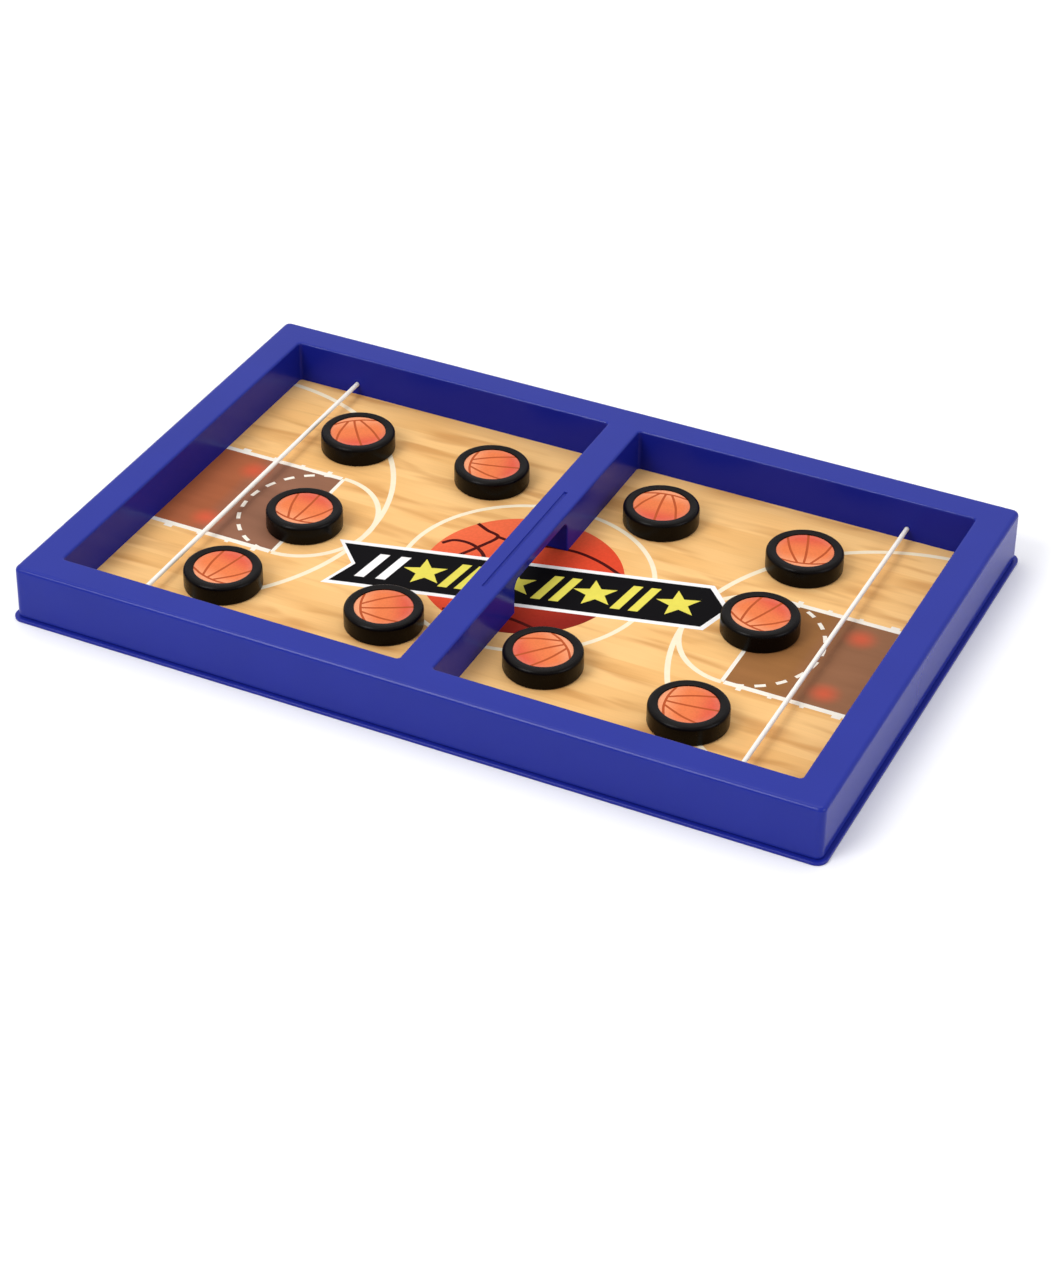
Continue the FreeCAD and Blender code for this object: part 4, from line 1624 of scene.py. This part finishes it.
    def build(self) -> None:
        """Make the sheet and glue it on the board."""
        sheet = Print(
            outline=round_rectangle(HALF_SHEET_LENGTH, HALF_SHEET_WIDTH, SHEET_CORNER_RADIUS),
            low=SHEET_UNDERSIDE, high=COURT_HEIGHT, ground=PLANKS, back=PAPER,
            uv_centre=self.ball_centre, uv_radius=self.ball_radius, uv_turn=-45.0,
        )
        for sign in (-1, 1):
            sheet.holes.append(disc((0.0, sign * DIVIDER_HOLE_Y), DIVIDER_HOLE_RADIUS, steps=32))
        for side in Side:
            self.lane(sheet, side)
        for side in Side:
            self.large_arc(sheet, side)
        self.centre_circle(sheet)
        self.ball(sheet)
        self.banner(sheet)
        piece = show("printed_court", sheet.mesh("printed_court"))
        put_on(piece, "board", ["court_sheet"])


@dataclass
class Puck:
    """One puck: a turned body with round edges, and its printed label down in the recess, in millimetres.

    Attributes:
        number: The puck's number, as in its CAD node.
        pole_degrees: The direction in which the printed ball's pole lies.
        radius: The body's radius.
        height: The body's height.
        shoulder: The radius of the round between the side and the top.
        foot: The radius of the round between the side and the underside.
        recess_radius: The radius of the recess for the label.
        recess_depth: How far the recess's floor lies below the top.
        ring_drop: How much lower the ring's inner edge is than its outer one.
        glide_width: The width of the ring that glides on the board.
        hollow: How far the underside's middle lies above that ring.
        lip_radius: How far the recess's and the hollow's edges are eased.
        label_thickness: The label's thickness.
        label_radius: The label's radius.
        seams: Points on each seam of the printed ball, as shares of the label's radius, with the pole below.
        seam_width: The width of a seam.
        segments: How many steps one turn of the body has.
        label_segments: How many steps the label's edge has.
        sharp_degrees: The angle from which an edge of the body stays sharp.
    """

    number: int
    pole_degrees: float
    radius: float = 16.25
    height: float = 8.9
    shoulder: float = 1.8
    foot: float = 0.9
    recess_radius: float = 12.15
    recess_depth: float = 1.0
    ring_drop: float = 0.3
    glide_width: float = 2.6
    hollow: float = 0.9
    lip_radius: Point2 = (0.18, 0.2)
    label_thickness: float = 0.25
    label_radius: float = 12.0
    seams: tuple[tuple[Point2, ...], ...] = (
        ((0.02, -0.78), (0.05, -0.3), (0.05, 0.4), (0.02, 1.08)),
        ((-0.2, -0.76), (-0.36, -0.4), (-0.54, 0.1), (-0.7, 0.84)),
        ((0.24, -0.76), (0.46, -0.42), (0.7, 0.0), (0.92, 0.6)),
        ((-0.8, -0.63), (-0.28, -0.76), (0.3, -0.76), (0.8, -0.63)),
    )
    seam_width: float = 1.0
    segments: int = 96
    label_segments: int = 72
    sharp_degrees: float = 35

    def profile(self) -> list[Point2]:
        """The half section, from the middle of the underside to the middle of the recess."""
        glide_outer = self.radius - self.foot
        glide_inner = glide_outer - self.glide_width
        crest = self.radius - self.shoulder
        ring_low = self.height - self.ring_drop
        floor = self.height - self.recess_depth
        foot_round = arc((glide_outer, self.foot), (self.foot, self.foot), -90, 0, steps=6)
        shoulder_middle = (crest, self.height - self.shoulder)
        shoulder_round = arc(shoulder_middle, (self.shoulder, self.shoulder), 0, 90, steps=10)
        recess_ease, hollow_ease = self.lip_radius
        lip = rounded_corner(
            (crest, self.height), (self.recess_radius, ring_low), (self.recess_radius, floor), recess_ease,
        )
        glide_lip = rounded_corner(
            (glide_inner, self.hollow), (glide_inner, 0), (glide_outer, 0), hollow_ease,
        )
        return [
            (0.0, self.hollow), (glide_inner, self.hollow), *glide_lip, *foot_round, *shoulder_round, *lip,
            (self.recess_radius, floor), (0.0, floor),
        ]

    def place(self) -> Point2:
        """The puck's middle in millimetres, from its CAD node."""
        low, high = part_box(f"puck_{self.number}")
        return ((low.x + high.x) / 2 / MM, (low.y + high.y) / 2 / MM)

    def label(self, centre: Point2) -> bpy.types.Mesh:
        """The printed disc, with the seams of a ball that run out from its pole."""
        low = COURT_HEIGHT + self.height - self.recess_depth
        sheet = Print(
            outline=disc(centre, self.label_radius, self.label_segments),
            low=low, high=low + self.label_thickness, ground=LABEL_ORANGE, back=PAPER,
            uv_centre=centre, uv_radius=self.label_radius, uv_turn=self.pole_degrees,
        )
        for seam in self.seams:
            line = flowing([(x * self.label_radius, y * self.label_radius) for x, y in seam], steps=6)
            sheet.add(LABEL_SEAM, stroke(turned(line, centre, self.pole_degrees + 90), self.seam_width))
        return sheet.mesh(f"puck_{self.number}_print")

    def build(self) -> None:
        """Make the body and the label and put them on the puck's CAD body."""
        name = f"puck_{self.number}"
        template = turned_mesh("puck", self.profile(), self.segments, self.sharp_degrees)
        centre = self.place()
        tree = CopiesTree("pucks at places", PUCK_BLACK)
        body = tree.copies(f"{name}_body", template, [(centre[0], centre[1], COURT_HEIGHT)], 0.0)
        put_on(body, name, [name])
        put_on(show(f"{name}_print", self.label(centre)), name, [f"{name}_label"])


@dataclass
class ElasticCord:
    """One elastic cord: two halves that meet where the puck pushes, and a knot behind each wall.

    Attributes:
        side: The court that it crosses.
        sides: How many sides the tube has.
        knot_sides: How many sides the knot's tube has.
        knot_size: The reach of the knot's loops across the cord, as a third of it, in millimetres.
        knot_depth: The reach of the knot's loops along the cord, in millimetres.
        knot_gap: How far the knot's middle lies behind the wall, in millimetres.
        knot_turn: How much of a whole closed knot is tied.
        knot_start: The angle at which the cord enters the knot, in radians.
        knot_steps: How many stretches the knot's loops are read in.
        knot_entry: How far behind the wall the knot's cord takes over, in millimetres.
        tail: How far the tail ends behind the wall, in millimetres.
        pulled_share: How thin the cord is in the tight knot, as a share of its diameter.
    """

    side: Side
    sides: int = 20
    knot_sides: int = 12
    knot_size: float = 0.62
    knot_depth: float = 0.9
    knot_gap: float = 2.6
    knot_turn: float = 0.92
    knot_start: float = 0.25
    knot_steps: int = 24
    knot_entry: float = 0.1
    tail: float = 7.0
    pulled_share: float = 0.85

    def half(self, sign: int) -> None:
        """Build the half that ends at one long wall.

        Args:
            sign: -1 for the near wall and 1 for the far wall.
        """
        x = self.side.value * CORD_X
        wall_back = HALF_COURT_WIDTH + INNER_WALL
        # The half is straight; these points set its rings closer together near the wall and the middle.
        reaches = (wall_back, HALF_COURT_WIDTH - 4, HALF_COURT_WIDTH / 2, 6, 0)
        line = route([(x, sign * y, CORD_HEIGHT) for y in reaches])
        ends = "near" if sign < 0 else "far"
        court = self.side.name.lower()
        mesh = tube_mesh(f"{court}_elastic_{ends}", line, CORD_DIAMETER, self.sides, CORD_WHITE)
        piece = show(mesh.name, mesh)
        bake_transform(piece)
        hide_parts(f"{court}_elastic")
        knot = self.knot(sign, wall_back)

    def knot(self, sign: int, wall_back: float) -> bpy.types.Object:
        """Tie the overhand knot that stops the cord behind the wall, with its short tail.

        Args:
            sign: -1 for the near wall and 1 for the far wall.
            wall_back: How far the wall's back is from the middle of the board.

        Returns:
            The knot.
        """
        x = self.side.value * CORD_X
        loops = []
        for step in range(self.knot_steps + 1):
            t = 2 * math.pi * (step / self.knot_steps) * self.knot_turn + self.knot_start
            loops.append((
                x + self.knot_size * (math.sin(t) + 2 * math.sin(2 * t)),
                sign * (wall_back + self.knot_gap - self.knot_depth * math.sin(3 * t)),
                CORD_HEIGHT + self.knot_size * (math.cos(t) - 2 * math.cos(2 * t)),
            ))
        entry = (x, sign * (wall_back + self.knot_entry), CORD_HEIGHT)
        tail_end = (x, sign * (wall_back + self.tail), CORD_HEIGHT)
        court = self.side.name.lower()
        ends = "near" if sign < 0 else "far"
        line = route([entry, *loops, tail_end], resolution=4)
        diameter = CORD_DIAMETER * self.pulled_share
        mesh = tube_mesh(f"{court}_knot_{ends}", line, diameter, self.knot_sides, CORD_WHITE)
        piece = show(mesh.name, mesh)
        put_on(piece, "board", [f"{court}_elastic"])
        return piece

    def build(self) -> None:
        """Make both halves with their knots."""
        for sign in (-1, 1):
            self.half(sign)


# The studio


@dataclass(frozen=True)
class Softbox:
    """One large soft lamp that faces the object.

    Attributes:
        name: The lamp's name.
        place: Where it hangs, in metres.
        size: Its width and height in metres.
        power: Its power in watts.
        colour: Its colour as an sRGB hex value.
    """

    name: str
    place: Point3
    size: Point2
    power: float
    colour: str = "#ffffff"

    def hang(self) -> None:
        """Put the lamp in the scene and turn it to the object."""
        data = bpy.data.lights.new(self.name, "AREA")
        data.shape = "RECTANGLE"
        data.size, data.size_y = self.size
        data.energy = self.power
        data.color = linear(self.colour)[:3]
        lamp = show(self.name, data)
        lamp.location = self.place
        lamp.rotation_euler = (-Vector(self.place)).to_track_quat("-Z", "Y").to_euler()


@dataclass
class Studio:
    """A pale floor, soft light and the camera that took the photograph.

    Attributes:
        azimuth: The camera's direction round the object, in degrees.
        elevation: The camera's angle above the horizon.
        roll: The camera's turn about its own axis.
        distance: Its distance from the middle of the rim, in metres.
        slide: How far it is moved to its right and up, in metres.
        focal_px: Its focal length in pixels of the photograph.
        rim_height: The height of the rim in millimetres.
        half_floor: Half the length of the floor's side, in metres.
        floor_colour: The colour of the floor in the light that it throws on the object.
        air_colour: The colour of the room's light.
        bright_side: The direction in which the room is brightest.
        room_reach: The cosines, from that direction, at which the room is dimmest and brightest.
        room_levels: How bright the room is there.
        softboxes: The lamps: the large one lights the tops, the front one draws the light line on the
            front rim, and the small one opens up the right-hand wall.
    """

    azimuth: float = 25.167
    elevation: float = 35.465
    roll: float = 0.928
    distance: float = 1.26081
    slide: Point2 = (0.00141, -0.04248)
    focal_px: float = 3082.3
    rim_height: float = 25.0
    half_floor: float = 3.0
    floor_colour: str = "#e9e7ee"
    air_colour: str = "#fbfbff"
    bright_side: Point3 = (-0.5, 0.6, 0.62)
    room_reach: Point2 = (-0.4, 0.9)
    room_levels: Point2 = (0.42, 0.84)
    softboxes: tuple[Softbox, ...] = (
        Softbox("overhead softbox", (-0.4, 0.35, 2.1), (2.4, 1.6), 13.0),
        Softbox("front softbox", (-0.7, -1.35, 1.45), (0.85, 1.1), 18.5),
        Softbox("side softbox", (1.8, -0.1, 0.8), (1.0, 0.8), 7.5, "#f8f8ff"),
    )

    def camera(self) -> None:
        """Set up the camera from the measured angles."""
        a, e, r = (math.radians(angle) for angle in (self.azimuth, self.elevation, self.roll))
        back = Vector((math.sin(a) * math.cos(e), -math.cos(a) * math.cos(e), math.sin(e)))
        level_right = Vector((0, 0, 1)).cross(back).normalized()
        level_up = back.cross(level_right)
        right = math.cos(r) * level_right + math.sin(r) * level_up
        up = -math.sin(r) * level_right + math.cos(r) * level_up
        data = bpy.data.cameras.new("photo camera")
        data.sensor_width = 36.0
        data.lens = self.focal_px * data.sensor_width / PHOTO_HEIGHT_PX
        data.clip_start = 0.05
        data.clip_end = 20.0
        camera = show("photo camera", data)
        aim = Vector((0, 0, self.rim_height * MM))
        place = aim + right * self.slide[0] + up * self.slide[1] + back * self.distance
        turn = Matrix((right, up, back)).transposed().to_4x4()
        camera.matrix_world = Matrix.Translation(place) @ turn
        bpy.context.scene.camera = camera

    def floor(self) -> None:
        """Lay the pale floor, which looks white to the camera and keeps the shadow."""
        half = self.half_floor
        corners = [(-half, -half, 0), (half, -half, 0), (half, half, 0), (-half, half, 0)]
        mesh = bpy.data.meshes.new("studio_floor")
        mesh.from_pydata(corners, [], [(0, 1, 2, 3)])
        material = bpy.data.materials.new("pale studio floor")
        material.use_nodes = True
        tree = material.node_tree
        shader = tree.nodes["Principled BSDF"]
        shader.inputs["Roughness"].default_value = 0.9
        shader.inputs["Specular IOR Level"].default_value = 0.1
        paths = add_node(tree, "ShaderNodeLightPath")
        white = linear("#ffffff")
        tone = add_node(
            tree, "ShaderNodeMix",
            {"Factor": paths.outputs["Is Camera Ray"], "A": linear(self.floor_colour), "B": white},
            data_type="RGBA",
        )
        tree.links.new(tone.outputs["Result"], shader.inputs["Base Color"])
        mesh.materials.append(material)
        show("studio_floor", mesh)

    def world(self) -> None:
        """Fill the room with plain pale light, brightest high up behind the object and to its left."""
        world = bpy.data.worlds.new("pale studio")
        bpy.context.scene.world = world
        world.use_nodes = True
        tree = world.node_tree
        direction = add_node(tree, "ShaderNodeTexCoord").outputs["Generated"]
        towards = add_node(
            tree, "ShaderNodeVectorMath",
            {0: direction, 1: Vector(self.bright_side).normalized()}, operation="DOT_PRODUCT",
        )
        away, near = self.room_reach
        dim, bright = self.room_levels
        level = add_node(
            tree, "ShaderNodeMapRange",
            {
                "Value": towards.outputs["Value"], "From Min": away, "From Max": near,
                "To Min": dim, "To Max": bright,
            },
        )
        background = tree.nodes["Background"]
        background.inputs["Color"].default_value = linear(self.air_colour)
        tree.links.new(level.outputs["Result"], background.inputs["Strength"])
        paths = add_node(tree, "ShaderNodeLightPath")
        white = add_node(tree, "ShaderNodeBackground", {"Color": (1, 1, 1, 1), "Strength": 1.0})
        mix = add_node(
            tree, "ShaderNodeMixShader",
            {
                0: paths.outputs["Is Camera Ray"],
                1: background.outputs["Background"], 2: white.outputs["Background"],
            },
        )
        tree.links.new(mix.outputs["Shader"], tree.nodes["World Output"].inputs["Surface"])

    def build(self) -> None:
        """Set up the whole studio."""
        self.floor()
        self.world()
        for softbox in self.softboxes:
            softbox.hang()
        self.camera()
        bpy.context.scene.view_settings.view_transform = "Standard"


def dress_hidden_board() -> None:
    """Give the board below the court, which stays as the CAD has it, its material."""
    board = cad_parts["playfield_board"]
    board.data.materials.clear()
    board.data.materials.append(HARDBOARD.material())


def main() -> None:
    """Build every sub-assembly in turn."""
    logging.basicConfig(level=logging.INFO, format="%(name)s: %(message)s")
    PlasticMouldings().build()
    BaseScrews().build()
    PrintedCourt().build()
    dress_hidden_board()
    for number, pole in enumerate(LABEL_POLES, start=1):
        Puck(number, pole).build()
    for side in Side:
        ElasticCord(side).build()
    Studio().build()


if __name__ == "__main__":
    main()
